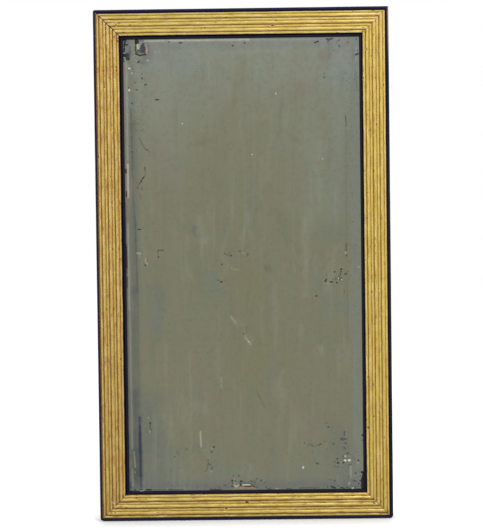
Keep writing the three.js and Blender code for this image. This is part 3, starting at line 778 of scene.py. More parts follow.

# The plate's clouds, lines and marks, painted reflections and shadows among them, are strokes in mm: from x,
# z to x, z, half width and strength.
# A dot has one x, z only. They stand in groups by what they are, each with its colour. Clouds stray,
# lines are straight and marks are crisp.
SILVER = (122, 123, 101)
CLOUDS = {
    # Paler towards the top: a painted reflection of the bright light above, with two paler clouds lower down
    "paler_top": ((139, 144, 131), (
        (-300, 620, 300, 620, 250, 1.0), (-190, 430, -180, 250, 50, 0.3), (150, 290, 160, 120, 40, 0.25),
    )),
    "blue_corners": ((130, 139, 135), (
        (-200, 500, -130, 480, 40, 0.6), (225, 510, 245, 460, 38, 0.9), (225, 420, 220, 130, 30, 0.3),
        (-250, 400, -250, 370, 14, 0.4),
    )),
    # Greyer at the foot: the lower end of the same painted reflection
    "grey_foot": ((117, 121, 113), ((-300, -590, 300, -590, 100, 0.9),)),
    "pale_head_right": ((142, 148, 140), ((215, 520, 265, 500, 40, 0.5),)),
    "dim_blister_side": ((96, 98, 96), ((-228, 522, -222, 496, 12, 0.5),)),
    "grey_low_corners": ((107, 112, 104), (
        (-225, -330, -225, -520, 32, 0.8), (-180, -440, -180, -520, 30, 0.4),
        (225, -400, 230, -520, 26, 0.5), (-200, -50, -215, -200, 16, 0.4),
    )),
    "olive_heart": ((123, 120, 94), (
        (10, 60, 0, -20, 45, 0.5), (0, -30, 34, -200, 52, 0.6), (20, -200, 10, -320, 60, 0.6),
        (0, 470, -16, 385, 13, 0.4), (-20, 385, -50, 250, 18, 0.3), (40, 330, 30, 120, 22, 0.3),
    )),
    "olive_patches": ((112, 116, 94), (
        (118, 300, 132, 296, 9, 0.5), (-100, 292, -85, 286, 10, 0.5), (-108, 40, -104, -60, 14, 0.4),
        (140, -330, 165, -380, 16, 0.4), (95, 110, 110, 60, 16, 0.3), (-150, 120, -140, 20, 12, 0.3),
    )),
    "pink_patches": ((128, 121, 107), (
        (-200, 280, -170, 200, 30, 0.5), (-190, 190, -200, 80, 22, 0.45),
        (-130, -240, -90, -330, 32, 0.5), (-60, -370, 10, -390, 26, 0.4), (120, -330, 160, -400, 34, 0.5),
        (150, 40, 150, -60, 24, 0.35), (120, 200, 130, 160, 24, 0.35), (135, 425, 140, 400, 20, 0.5),
        (190, 478, 202, 478, 12, 0.6), (-20, 30, -14, 30, 10, 0.4), (-45, -20, -42, -60, 6, 0.4),
        (-170, -260, -180, -350, 18, 0.4),
    )),
    "blue_patches": ((114, 121, 113), (
        (-80, -35, -62, -60, 16, 0.55), (-118, 92, -108, 84, 8, 0.5), (200, 80, 215, 60, 24, 0.4),
        (215, -90, 240, -90, 20, 0.4), (-218, -60, -216, -150, 16, 0.4), (70, -230, 60, -330, 10, 0.4),
        (30, 200, 10, 90, 12, 0.3), (180, -20, 190, -110, 14, 0.3),
    )),
    "wipes": ((135, 138, 122), (
        (-97, 112, -92, 60, 8, 0.4), (-93, 70, -97, 25, 6, 0.5), (150, 95, 152, 10, 9, 0.4),
        (156, 20, 150, -60, 6, 0.4), (5, 130, 2, 40, 7, 0.35), (182, 290, 176, 200, 10, 0.4),
        (174, 210, 178, 130, 8, 0.4), (60, 300, 50, 200, 9, 0.3), (46, 260, 40, 150, 5, 0.3),
        (-125, -330, -105, -345, 16, 0.4), (90, -248, 88, -300, 6, 0.35), (89, -290, 86, -366, 5, 0.3),
        (181, -200, 182, -214, 9, 0.7), (-30, -123, 15, -187, 5, 0.3), (8, -478, 9, -497, 4, 0.4),
        (-12, -476, -14, -492, 5, 0.3), (-40, 80, -38, -10, 5, 0.3), (-110, -410, -104, -436, 4, 0.5),
        (-150, -300, -146, -360, 8, 0.3), (100, 340, 90, 280, 7, 0.3), (210, 30, 200, -60, 8, 0.3),
        (-78, 380, -90, 330, 9, 0.3), (-130, 60, -128, -30, 6, 0.3), (120, 80, 124, -10, 5, 0.35),
    )),
    "shades": ((98, 101, 88), (
        (61, 0, 61, -6, 5, 0.7), (70, 2, 71, -4, 4, 0.5), (-112, 90, -112, 84, 5, 0.6),
        (-3, -156, -3, -162, 5, 0.5), (-174, -478, -174, -483, 4, 0.4), (-112, -416, -104, -424, 4, 0.5),
        (-122, -424, -130, -440, 3, 0.4), (26, -303, 34, -322, 2.2, 0.6), (34, -322, 41, -340, 2.2, 0.6),
        (-30, 290, -22, 270, 3, 0.3),
    )),
}
STRAY = 9.0
STRAY_LENGTH = 34.0

LINES = {
    "slate_corner": ((80, 84, 90), ((-266, 524, -262, 500, 9, 0.7), (-234, 520, -232, 505, 11, 0.6))),
    # The bevel_ bands and lines: painted reflections in the bevel's slope, darker on the left and at the
    # foot
    "bevel_left": ((101, 104, 98), ((-258, 330, -258, -60, 12, 0.7), (-258, 480, -258, 330, 9, 0.4))),
    "bevel_low_left": ((88, 92, 92), ((-260, -60, -260, -300, 12, 0.6), (-260, -300, -260, -540, 12, 0.9))),
    "dim_low_corner": ((60, 63, 68), ((-262, -440, -262, -540, 10, 0.5),)),
    "bevel_right": ((120, 127, 119), ((264, 530, 264, -530, 13, 0.7),)),
    "bevel_foot": ((103, 107, 106), ((-280, -522, 280, -522, 12, 0.7),)),
    "bevel_head": ((128, 132, 128), ((-280, 516, 280, 516, 10, 0.6),)),
    "bevel_lines": ((80, 82, 86), (
        (-260, 370, -257, 180, 2.0, 0.6), (-257, 180, -252.5, 60, 2.2, 0.65),
        (-252.5, 110, -252.5, 60, 2, 0.4), (-252.5, 60, -250.5, -60, 2.0, 0.7),
        (-250.5, -60, -250, -350, 2.2, 0.3), (243, 350, 243, -200, 1.8, 0.2),
        (264, 500, 264, 478, 2.0, 0.3), (270, 440, 270, 405, 1.4, 0.4),
    )),
    "bevel_loss": ((40, 42, 68), (
        (-249.5, -357, -249.5, -395, 3.0, 0.9), (-249.5, -395, -249, -440, 4.0, 0.95),
        (-249, -440, -249, -526, 4.6, 0.8),
    )),
    # Dark bands along the sight edge: painted shadow and reflection of the slips
    "painted_slip_shade": ((58, 56, 68), (
        (-278, 525, -278, 150, 2.8, 0.9), (-278, 150, -278, -531, 4.0, 0.95),
        (-276, 50, -276, -5, 4.0, 0.9), (-275, -510, -275, -532, 5.0, 0.7),
        (-280, 532, 280, 532, 1.8, 0.6),
    )),
    "pale_lines": ((156, 156, 146), (
        (-268.5, 475, -268.8, 250, 1.8, 0.7), (-270.8, 100, -270, -100, 1.7, 0.85),
        (-269, -100, -268, -430, 1.5, 0.5), (-268, -480, -268, -520, 1.6, 0.6),
        (268.5, 505, 268.5, 470, 1.5, 0.7), (246.5, -478, 247, -503, 2.0, 0.7),
        (30, 526.8, 190, 526.4, 1.7, 0.5), (-275, -526, -130, -526, 1.2, 0.25),
    )),
    "bright_lines": ((196, 193, 182), (
        (-268.8, 240, -269, 162, 1.8, 0.95), (-225, 527.6, 20, 527.4, 1.8, 0.75),
        (-264.5, -437, -263.5, -450, 1.2, 0.4), (-263.5, -450, -261.8, -474, 1.3, 0.5),
        (-107, -392, -105.5, -428, 1.6, 0.6), (-56, -264, -56, -288, 1.6, 0.2),
        (-31, -121, -21, -136, 2.0, 0.3), (2, -171, 14, -186, 2.0, 0.35), (-2, -158, 2, -166, 1.4, 0.2),
    )),
    "tan_line": ((138, 118, 108), ((-273, 470, -273, 300, 1.8, 0.5), (-272.5, 250, -272.5, 150, 1.8, 0.7))),
}

MARKS = {
    "corner_losses": ((14, 15, 32), (
        (-272, 525, -273, 516, 2.0, 1), (-271, 520, -265, 519, 1.4, 1), (-273, 511, -274, 503, 1.8, 1),
        (-278, 495, -270, 494, 3.2, 1), (-267, 495, -265, 487, 4.4, 0.9),
        (-262, 497, -261, 490, 2.0, 0.6), (-278, 531, -270, 529, 2.4, 0.9),
        (-276, 486, -275, 480, 2.0, 0.7), (279, -493, 279, -533, 3.5, 1), (276, -500, 276, -533, 3.4, 1),
        (273, -508, 274, -530, 2.6, 1), (271, -523, 272, -528, 1.6, 0.9), (272, -492, 277, -494, 2.4, 1),
    )),
    "bevel_loss_heart": ((38, 40, 64), (
        (-249.5, -376, -249.5, -440, 2.2, 0.6), (-249, -440, -249, -496, 2.6, 0.5),
    )),
    "blister_edge": ((26, 24, 32), (
        (-245, 531, -245, 523, 3.2, 1), (-241, 528, -240, 525, 2.0, 1), (-246, 521, -247, 503, 1.5, 0.9),
        (-248, 505, -243, 500, 1.6, 0.7), (-247, 498, -243, 496, 1.4, 1),
        (-243, 496, -236, 493.5, 1.5, 1), (-236, 493.5, -229, 495.5, 1.5, 1),
        (-229, 495.5, -223.5, 495.5, 1.4, 1), (-235, 521.5, -226, 521, 0.9, 0.9),
        (-219, 520, -217, 512, 0.9, 0.5), (-217, 508, -216, 500, 0.9, 0.4),
        (-225, 514, -224.5, 498, 1.0, 0.8),
    )),
    "blister_silver": ((56, 61, 70), ((-231, 516, -230, 503, 4.6, 1), (-241, 506, -236, 502, 2.4, 0.8))),
    "blister_flakes": ((186, 180, 128), (
        (-242, 518, -241, 511, 2.0, 1), (-237, 519.5, -237, 514, 1.2, 0.7),
    )),
    "blister_tan": ((168, 140, 110), (
        (-227, 525, -222, 518, 1.3, 0.45), (-222, 518, -220, 508, 1.4, 0.6),
        (-220, 508, -221, 501, 1.8, 0.9), (-221, 501, -224, 498, 1.0, 0.7),
        (-243, 499.5, -228, 499, 0.8, 0.4),
    )),
    "scratches": ((58, 60, 52), (
        (-242, 301, -238, 294, 1.3, 0.5), (-238, 294, -233, 284, 1.1, 0.7),
        (-233, 284, -227, 275, 1.0, 0.6), (-227, 275, -220, 271, 1.4, 0.7),
        (-220, 271, -216, 266, 1.2, 0.4), (-232, 322, -236, 317, 1.4, 0.4),
        (-228.5, 232, -229, 226, 1.4, 0.8), (-227, 225, -230, 211, 0.9, 0.5),
        (-231, 210, -235.5, 205, 1.5, 1), (-237, 202, -238, 199, 1.5, 1),
        (-240, 197, -243, 192, 1.6, 0.6), (-246, 186, -246, 183, 1.7, 0.6),
        (-237, 188, -236, 180, 1.3, 0.5), (-243, 170, -239, 158, 1.1, 0.5),
        (-202, 34, -201, 25, 1.0, 0.5), (-196, 37, -188, 37, 1.0, 0.8), (-44, 27, -36, 24, 1.0, 0.6),
        (-36, 24, -30, 22, 1.0, 0.6), (-89, -463, -93, -483, 1.3, 0.5), (-93, -483, -97, -487, 1.3, 0.5),
        (-94, -495, -93, -503, 1.2, 0.3), (-165, -437, -157, -446, 1.2, 0.4),
        (160, -431, 173, -426, 1.4, 0.4), (241, 46, 241, 31, 1.7, 0.6), (243, 346, 244, 322, 0.9, 0.8),
        (-224.5, -372, -225, -381, 1.3, 0.8), (-223.5, -385, -222.5, -393, 1.1, 0.8),
    )),
    "specks_left": ((48, 50, 46), (
        (-242, 477, -238, 480.5, 1.6, 1), (-234.5, 477, 1.3, 0.7), (-242, 486, 1.6, 0.5),
        (-253.5, 463, 1.4, 0.9), (-265, 463, 1.3, 0.6), (-259.5, 516, -259.5, 499, 1.0, 0.5),
        (-250, 456, 1.3, 0.5), (-232, 450.5, 1.5, 0.7), (-237.5, 446, -237, 443, 1.2, 0.4),
        (-232.5, 441, -232.5, 440, 1.8, 0.9), (-249, 430, 1.6, 0.7), (-265, 420, -264, 419, 1.6, 0.7),
        (-225.5, 425.5, -224, 425.5, 2.0, 0.9), (-245, 413.5, 1.7, 0.9), (-250, 416, -248, 415, 1.2, 0.5),
        (-257, 382.5, 1.9, 0.95), (-200.5, 390, -195, 390, 1.6, 1), (-266, 282, 1.2, 0.9),
        (-232, 366, 2.2, 0.3), (-252, 365, 2.2, 0.3), (-235, 353, -243, 343, 1.4, 0.25),
        (-259.5, 303, 1.6, 0.6), (-259, 269, -258, 268, 1.8, 0.6), (-232, 254, 1.8, 0.3),
        (-247, 87, -239, 86.5, 1.3, 1), (-234, 92, -234, 90, 1.2, 0.4), (-199.5, 37, 1.7, 1),
        (-200, 21, 1.7, 1), (-231, 2.5, 2.1, 1), (-224.5, -370, 2.2, 1), (-235, -391, 1.5, 0.4),
        (-140, -433, 2.4, 0.5), (-170, -451, -165, -449, 1.3, 0.4), (-185, -512, 1.7, 0.4),
        (-248, -456, -248, -460, 2.2, 0.8), (-255, -463, 1.4, 0.5),
    )),
    "stains_left": ((58, 26, 32), (
        (-273.5, 228, -273.5, 220, 1.7, 1), (-273, 176, -273, 164, 1.5, 1),
        (-275.5, 45, -275, -2, 2.0, 0.9), (-274, -25, -275, -50, 1.8, 0.6),
        (-274.5, -12, -274.5, -15, 1.4, 0.5),
    )),
    "specks_head": ((56, 60, 56), (
        (-168, 525, 1.8, 0.9), (-175, 526, 1.4, 0.5), (-144, 522, -138, 522, 1.7, 0.9),
        (-147, 509, -138, 508, 1.1, 0.3), (-19.5, 514, -19, 513.5, 2.0, 0.95), (9, 520, 2.1, 0.9),
        (-14, 520, 1.4, 0.4), (173.5, 518.5, 174.5, 518.5, 2.0, 1), (178, 520.5, 181, 521, 1.7, 1),
        (201, 527, 206, 523.5, 2.0, 0.9), (206, 523, 203, 518, 1.5, 0.7),
        (208, 526.5, 214, 527, 2.0, 0.85), (190, 526, 1.4, 0.5), (228, 523, 231, 523.5, 1.8, 0.7),
        (229, 511, 231, 508, 1.9, 0.7), (225, 521, 225, 517, 1.2, 0.5), (239, 513, 239, 510, 1.2, 0.4),
        (249, 518, 251, 518, 2.2, 0.5), (243, 525, 1.3, 0.5), (252, 527, 253, 527, 1.4, 0.5),
        (206, 500, 1.7, 0.4), (209, 504.5, 212, 504.5, 1.5, 0.35), (216, 500, 219, 500, 2.3, 0.4),
        (194, 445.5, 2.4, 0.45), (194, 436.5, 2.8, 0.6), (268.5, 489, 274, 491, 1.9, 1),
        (272, 499, 272, 497, 1.5, 0.6), (270, 448, 1.6, 0.5), (270, 527, 270, 524, 1.5, 0.7),
        (232, 441, 230, 438, 2.4, 0.25), (154, 494, 155, 494, 2.6, 0.2),
    )),
    "specks_middle": ((50, 50, 40), (
        (-29, 22.5, 1.9, 1), (-44, 27.5, 1.6, 0.9), (-34, 30, -31, 30, 1.2, 0.5),
        (-10, 33, -5, 33.5, 1.8, 0.5), (10, 26, 10, 24, 1.8, 0.6), (6, 21, 9, 21, 1.6, 0.35),
        (-51, 2, -50.5, 2, 1.8, 0.8), (-63, 13, -63, 10, 1.3, 0.35), (-60, -35.5, 1.8, 0.9),
        (-54.5, -39, -51.5, -39, 1.9, 0.9), (-45, -37, -44, -37, 1.6, 0.35),
        (-2, -163, -2, -160, 1.5, 0.7), (-50, -86, 1.3, 0.5), (46, -33, 1.3, 0.3),
        (-112, 90, -112, 88, 1.3, 0.5),
    )),
    "specks_right": ((50, 52, 46), (
        (242, 19, 1.8, 1), (253, 9, 1.3, 0.4), (229, -13, 229.5, -13, 2.2, 1),
        (228, -18.5, 228.5, -18.5, 1.7, 0.9), (212, -18.5, 214.5, -18.5, 1.7, 0.75),
        (244, -18, 246, -18, 1.5, 0.5), (238, -24, 242, -23.5, 1.9, 0.8), (227, -25, 227.5, -25, 1.8, 1),
        (223, -29.5, 226, -31, 1.4, 0.9), (230, -33, 225, -37, 1.2, 0.9), (225, -37, 228, -41, 1.2, 0.9),
        (216, -33, 216, -37, 1.6, 0.6), (217.5, -43.5, 219, -45, 1.6, 1), (203, -42, 208, -43, 1.7, 1),
        (191.5, -41, 194, -36, 1.7, 1), (194, -27, 194, -24, 1.2, 0.4), (170, -75, 170.5, -75, 1.9, 1),
        (170, -66, 1.2, 0.35), (236, -60, 236, -69, 1.6, 0.35), (243, -74, 1.5, 0.3),
        (208, -36, 212, -37, 1.3, 0.35), (251, -28, 250, -31, 1.3, 0.4), (246, -35, 250, -37, 1.1, 0.4),
    )),
    "specks_foot_right": ((50, 50, 54), (
        (194.5, -384.5, 1.9, 0.9), (188, -375, 192, -375.5, 1.6, 0.35), (232, -397, 1.7, 1),
        (232, -402, 232, -404, 1.7, 0.7), (224.5, -412.5, 227, -412, 2.0, 0.85), (229, -416, 1.5, 0.8),
        (232, -413, 235.5, -413, 1.7, 0.8), (210, -413, 1.5, 0.4), (205.5, -424.5, 207, -424.5, 2.6, 0.5),
        (234.5, -423, 236, -423, 2.7, 0.5), (138, -421.5, 1.8, 0.6), (149, -424, 149, -426, 2.2, 0.35),
        (155, -426.5, 157, -428, 1.9, 0.6), (173, -426, 176, -424, 2.3, 0.6),
        (186, -419, 190, -419, 1.6, 0.3), (230, -432, 235, -436, 1.8, 0.5),
        (237, -447, 242, -446.5, 1.6, 0.7), (228.5, -453.5, 228.5, -454, 1.7, 0.95),
        (230, -459, 231, -460, 1.2, 0.7), (228.5, -470, 232, -467, 1.4, 1),
        (215, -459.5, 215, -460, 1.9, 0.95), (209, -466, 209, -467, 1.5, 0.5),
        (215.5, -469.5, 218, -469.5, 1.9, 1), (264.5, -464, 265, -464, 2.2, 0.95),
        (165.5, -469.5, 170, -471, 1.9, 0.75), (158, -459, 159, -460, 1.4, 0.3),
        (240, -475, 248, -474, 1.3, 0.5), (216, -478, 217, -478, 2.1, 0.35),
        (257, -493, 259, -495, 1.8, 0.7), (265, -489, 1.4, 0.5), (241, -502, 244, -502, 1.9, 0.4),
        (250, -498, 1.3, 0.5), (268, -501, 269, -502, 1.5, 0.6), (263, -503, 1.3, 0.5),
        (194, -509, 200, -509, 1.3, 0.35), (207, -511, 209, -511, 1.6, 0.7),
        (253, -512, 258, -513, 1.7, 0.7), (268, -512.5, 1.8, 0.95), (265, -519, 1.8, 0.95),
        (261, -525, 264, -525, 1.4, 0.5), (192, -526, 1.7, 0.95), (200, -525, 209, -528.5, 1.8, 1),
        (215, -523, 217, -525, 1.4, 0.5), (222, -528, 227, -528, 1.4, 0.85),
        (230, -530, 229, -534, 1.6, 1), (236, -527, 238, -527, 1.6, 0.8),
        (241, -529, 244, -529, 1.2, 0.6), (252, -527, 257, -528, 1.4, 0.9),
        (274, -404, 276, -406, 1.8, 0.9), (274, -416, 275, -416, 1.5, 0.6),
        (278, -404, 278, -409, 1.5, 0.8),
    )),
    "specks_foot": ((34, 32, 40), (
        (-76, -428.5, -75.5, -428.5, 2.3, 0.9), (-81, -440, 2.7, 0.5), (-89.5, -459, 1.6, 0.6),
        (-87, -469, -84, -470, 1.7, 0.6), (-81, -479, 2.3, 0.6), (-17.5, -497, 1.8, 0.85),
        (-31, -498, -31, -496, 1.6, 0.5), (-33.5, -508, -33.5, -510, 1.7, 1), (-33, -515.5, 1.4, 0.9),
        (-34, -522, -33.5, -522, 1.8, 1), (-26.5, -508, 1.4, 0.85), (-13, -510, -10, -511, 1.7, 1),
        (-13, -517.5, -13.5, -519, 2.1, 1), (-15, -513, -16, -514, 1.2, 0.6), (-5, -515, 1.4, 0.95),
        (-12, -522, 10, -522.3, 1.2, 1), (-6, -516.2, 9, -516.4, 0.8, 0.8),
        (10, -510, 15, -511, 1.4, 0.6), (20, -509, 1.3, 0.5), (18, -513, 21, -513, 1.2, 0.6),
        (12, -517, 12, -518, 1.4, 0.8), (20, -518, 1.4, 0.8), (14, -521, 20, -524, 1.3, 0.8),
        (24, -525, 25, -525, 1.4, 0.8), (25, -504, 26, -505, 1.5, 0.6), (34.5, -508, 35, -510, 1.4, 0.8),
        (43, -514, 43, -515, 1.5, 0.5), (45, -525, 48, -525, 1.4, 0.6), (-52, -520, -48, -520, 2.2, 0.35),
        (-66, -524, -63, -524, 1.6, 0.35), (-86, -529, -60, -529.5, 1.4, 0.7),
        (50, -529, 60, -531, 1.4, 0.6), (95, -529.5, 106, -530, 1.3, 0.5),
        (-262, -528, -264, -529, 1.6, 0.9), (-253, -528, -246, -528, 1.1, 0.8),
        (-236, -528, -225, -528, 1.4, 1), (-222, -528, -190, -528, 0.9, 0.5),
        (-184, -528, -150, -529, 1.2, 0.6), (125, -528, 172, -527.5, 1.1, 0.4),
    )),
    "white_flakes": ((214, 214, 204), (
        (-262.5, 464, -262, 464, 1.7, 1), (-258, 463, 1.1, 0.4), (-256.5, 453, 1.5, 0.7),
        (-263, 413, 1.9, 1), (-241.5, 519, 1.2, 0.9), (-235, 519.4, -228, 518.6, 0.8, 0.6),
        (-238, 525, -231, 524, 0.9, 0.35), (234, -453.5, 1.8, 0.75), (232.5, -464, 234, -464, 2.2, 1),
        (242, -463.5, 244, -463.5, 2.1, 1), (134.5, -478, 134, -480, 2.2, 0.6),
        (249, -530, 253, -530, 1.2, 0.8), (222.5, -34, 1.4, 0.7), (229.5, -37.5, 1.2, 0.7),
        (240, 26, 1.6, 0.4), (80.5, 402, 80.5, 399, 1.3, 0.5), (22, 259, 24, 259, 1.4, 0.45),
        (188, 246.5, 1.4, 0.5), (-139.6, 333, 1.5, 0.5), (9.7, -181, 1.4, 0.5),
        (-252, -531, -243, -531, 0.9, 0.7), (-262, -485, -262, -487, 1.2, 0.25), (244, -453, 1.2, 0.3),
        (2, -519, 1.5, 0.8), (70, -529, 74, -529, 1.4, 0.35),
    )),
    "pale_spots": ((150, 153, 146), (
        (-202, 501, 2.0, 0.8), (-192, 501, 1.6, 0.5), (-219, 482, 2.8, 0.8),
        (-249.5, 31, -242.5, 30, 2.4, 0.6), (-230.5, 19, -230.5, 9, 1.1, 0.7),
        (-227.5, 7, -227, 4, 1.7, 0.7), (-244, 25, -244, 21, 1.0, 0.5), (-229, -357, 1.8, 0.7),
        (-226, -387, -225, -392, 1.2, 0.8), (-80, -431, -79, -432, 1.4, 0.6),
        (-82, -486.5, -80, -486.5, 1.3, 0.5), (-28, -505, -27, -504, 1.4, 0.7),
        (-27, -514, -27, -516, 1.4, 0.8), (264, -469, 264, -470, 1.7, 0.7),
        (243, -517, 242, -520, 2.6, 0.5), (-61, -39, -60, -39, 1.2, 0.5), (-28, -7, -28, -8, 1.3, 0.5),
        (-24, -11, -12, -11, 1.1, 0.4), (269, -8, 271, -8, 1.5, 0.8), (188, -45, 190, -46, 1.5, 0.4),
        (197, -44, 197, -47, 1.3, 0.4), (-2, 28, 1, 27, 1.3, 0.4),
    )),
    "cream_flakes": ((196, 190, 156), (
        (-9, -519, 8, -519, 1.4, 1), (-28, -520, -24, -523, 1.4, 0.9), (-24, -523, -18, -519, 1.3, 0.8),
    )),
    "tan_foot": ((150, 130, 104), (
        (-30, -528, -14, -525.5, 1.8, 0.7), (-14, -525.5, 10, -526, 2.2, 1),
        (10, -526, 22, -528, 1.6, 0.8),
    )),
}

# Where fine foxing gathers, as strokes of the same kind
FOXED = (
    (-248, 530, -246, 330, 20, 0.95), (-250, 330, -250, -530, 15, 0.25), (-270, 522, 280, 522, 9, 0.35),
    (255, 530, 255, -360, 16, 0.3), (225, -30, 26, 0.7), (232, -400, 222, -530, 30, 0.75),
    (-250, -524, 280, -524, 7, 0.5), (0, -512, 36, 0.9), (-30, 28, 5, 28, 16, 0.35),
    (-85, -440, -85, -480, 14, 0.4), (150, -425, 180, -425, 18, 0.4), (-225, -380, 14, 0.5),
)


def grid_lines(low, high):
    """Even lines across the plate, with two more just inside its rim."""
    inner = np.linspace(low + PLATE_EDGE_EASE, high - PLATE_EDGE_EASE, round((high - low) / PAINT_STEP) + 1)
    return np.concatenate([[low], inner, [high]])


def from_stroke(x, z, stroke):
    """How far each point is from the middle line of a stroke, in mm. A dot is a stroke with no length."""
    x0, z0 = stroke[:2]
    x1, z1 = stroke[-4:-2]
    length = max((x1 - x0) ** 2 + (z1 - z0) ** 2, 0.000001)
    share = np.clip(((x - x0) * (x1 - x0) + (z - z0) * (z1 - z0)) / length, 0, 1)
    return np.hypot(x - x0 - share * (x1 - x0), z - z0 - share * (z1 - z0))


def tones_at(x, z):
    """The plate's colour at each point: the silvering's own, with painted reflections and shadows."""
    light = np.ones((x.size, 3)) * paint(*SILVER)[:3]
    stray_x = x + STRAY * value_noise(x / STRAY_LENGTH + 20, z / STRAY_LENGTH + 20, 301)
    stray_x += STRAY * 0.5 * value_noise(x / 11 + 30, z / 19 + 30, 302)
    stray_z = z + STRAY * 2 * value_noise(x / STRAY_LENGTH + 20, z / STRAY_LENGTH + 20, 303)
    for groups, at_x, at_z in ((CLOUDS, stray_x, stray_z), (LINES, x, z)):
        for colour, strokes in groups.values():
            for stroke in strokes:
                half, strength = stroke[-2:]
                share = strength * np.exp(-((from_stroke(at_x, at_z, stroke) / half) ** 2))[:, None]
                light = light * (1 - share) + share * paint(*colour)[:3]
    return light


MARK_REACH = 1.6


def marks_at(x, z, tone):
    """How near each point is to a mark, 1 on it and 0 well clear of it, and that mark's colour."""
    cover = np.zeros_like(x)
    nearest = np.full_like(x, np.inf)
    light = tone.copy()
    for colour, strokes in MARKS.values():
        for stroke in strokes:
            half, strength = stroke[-2:]
            away = from_stroke(x, z, stroke)
            cover = np.maximum(cover, np.clip(MARK_REACH - away / half, 0, 1))
            closer = away - half < nearest
            nearest[closer] = (away - half)[closer]
            light[closer] = tone[closer] * (1 - strength) + np.array(paint(*colour)[:3]) * strength
    return cover, light


LEAST_FOXING = 0.08


def foxing_at(x, z):
    """How thickly the foxing lies at each point, 0 to 1."""
    gathered = np.full_like(x, LEAST_FOXING)
    for stroke in FOXED:
        half, strength = stroke[-2:]
        gathered = np.maximum(gathered, strength * np.exp(-((from_stroke(x, z, stroke) / half) ** 2)))
    return gathered


def plate_mesh():
    """The plate as one closed body: a painted front, a bevel all round it, and a plain back."""
    lines_x = grid_lines(plate_low.x, plate_high.x)
    lines_z = grid_lines(plate_low.z, plate_high.z)
    x, z = np.meshgrid(lines_x, lines_z, indexing="ij")
    rim = np.minimum(
        np.minimum(x - plate_low.x, plate_high.x - x), np.minimum(z - plate_low.z, plate_high.z - z)
    )
    drop = BEVEL_DROP * np.clip(1 - rim / BEVEL_WIDTH, 0, 1) + np.where(rim <= 0, PLATE_EDGE_EASE, 0)
    y = plate_low.y + drop
    front = np.stack([x, y, z], -1).reshape(-1, 3)
    count_x, count_z = x.shape
    here = np.arange(x.size).reshape(count_x, count_z)
    faces = np.stack([here[:-1, :-1], here[1:, :-1], here[1:, 1:], here[:-1, 1:]], -1).reshape(-1, 4)
    loop = np.concatenate([here[:-1, 0], here[-1, :-1], here[:0:-1, -1], here[0, :0:-1]])
    behind = front[loop] * (1, 0, 1) + (0, plate_high.y, 0)
    back = x.size + np.arange(loop.size)
    sides = np.stack([loop, back, np.roll(back, -1), np.roll(loop, -1)], -1)
    mesh = bpy.data.meshes.new("silvered_plate")
    points = np.concatenate([front, behind])
    mesh.from_pydata(points.tolist(), [], faces.tolist() + sides.tolist() + [back[::-1].tolist()])
    at_x = points[:, 0] * MM
    at_z = points[:, 2] * MM
    tone = tones_at(at_x, at_z)
    cover, mark = marks_at(at_x, at_z, tone)
    put_numbers(mesh, tone=tone, cover=cover, mark=mark, foxing=foxing_at(at_x, at_z))
    mesh.shade_smooth()
    return mesh


FRECKLES = 230.0
FRECKLE = (66, 70, 62)
BUFF_CLOUD = (131, 121, 104)
GREEN_BLOTCH = (112, 123, 110)
BUFF_BLOTCH = (127, 117, 104)
PALE_WIPE = (140, 143, 128)
DIM_WIPE = (104, 107, 96)
DIM_MOTTLE = (98, 102, 88)
PALE_SPECKLE = (144, 146, 132)


def old_mirror():
    """Worn silvering under glass, with painted reflections and shadows among its tones. Its tones and marks
    are held by the mesh, and the rest is random.
    """
    plate = Finish("old_mirror")
    at = plate.place()
    wiped = plate.noise(plate.stretch(at, (1.0, 1.0, 0.1)), 60.0, 4.0, 0.6, 0.4)
    cloud = plate.noise(at, 14.0, 3.0, 0.55, 0.8)
    blotch = plate.noise(at, 38.0, 2.0, 0.5)
    mottle = plate.noise(at, 110.0, 4.0, 0.65)
    fine = plate.noise(at, 620.0, 3.0, 0.6)
    colour = plate.colour("tone")
    colour = plate.mix(cloud.step(0.45, 0.7) * 0.25, colour, paint(*BUFF_CLOUD))
    colour = plate.mix(blotch.step(0.5, 0.66) * 0.2, colour, paint(*GREEN_BLOTCH))
    colour = plate.mix(blotch.step(0.48, 0.36) * 0.16, colour, paint(*BUFF_BLOTCH))
    colour = plate.mix(wiped.step(0.52, 0.7) * 0.22, colour, paint(*PALE_WIPE))
    colour = plate.mix(wiped.step(0.46, 0.3) * 0.18, colour, paint(*DIM_WIPE))
    colour = plate.mix(mottle.step(0.48, 0.34) * 0.16, colour, paint(*DIM_MOTTLE))
    colour = plate.mix((mottle * 0.4 + fine * 0.6).step(0.5, 0.7) * 0.12, colour, paint(*PALE_SPECKLE))
    flat = plate.stretch(at, (1.0, 0.0, 1.0))
    foxing = plate.number("foxing")
    chosen = (foxing * 0.42 - plate.part(plate.cells(flat, FRECKLES, output=1), 0)).step(0.0, 0.03)
    freckle = (plate.cells(flat, FRECKLES) + fine * 0.2).step(0.46, 0.3) * chosen
    colour = plate.mix(freckle * 0.55, colour, paint(*FRECKLE))
    mark = (plate.number("cover") + (fine - 0.5) * 0.9).step(0.34, 0.62)
    colour = plate.mix(mark, colour, plate.colour("mark"))
    plate.put(base_color=colour, metallic=1.0 - mark * 0.6, roughness=0.06 + mottle * 0.04 + mark * 0.2)
    plate.relief(cloud * 0.7 + mottle * 0.3 - mark * 0.4, 0.0003, 0.05)
    return plate.material


silvered_plate = bpy.data.objects.new("silvered_plate", plate_mesh())
bpy.context.scene.collection.objects.link(silvered_plate)
stand_for("mirror_plate", silvered_plate, old_mirror())

# ---- Silvering ----
# A leaf of tin and mercury on the back of the glass, which makes it a mirror. Seen from behind it is dull
# grey, clouded and crazed with age.

FOIL_BRIGHT = (120, 124, 126)
FOIL_DULL = (88, 90, 90)
FOIL_CRAZE = (60, 60, 60)


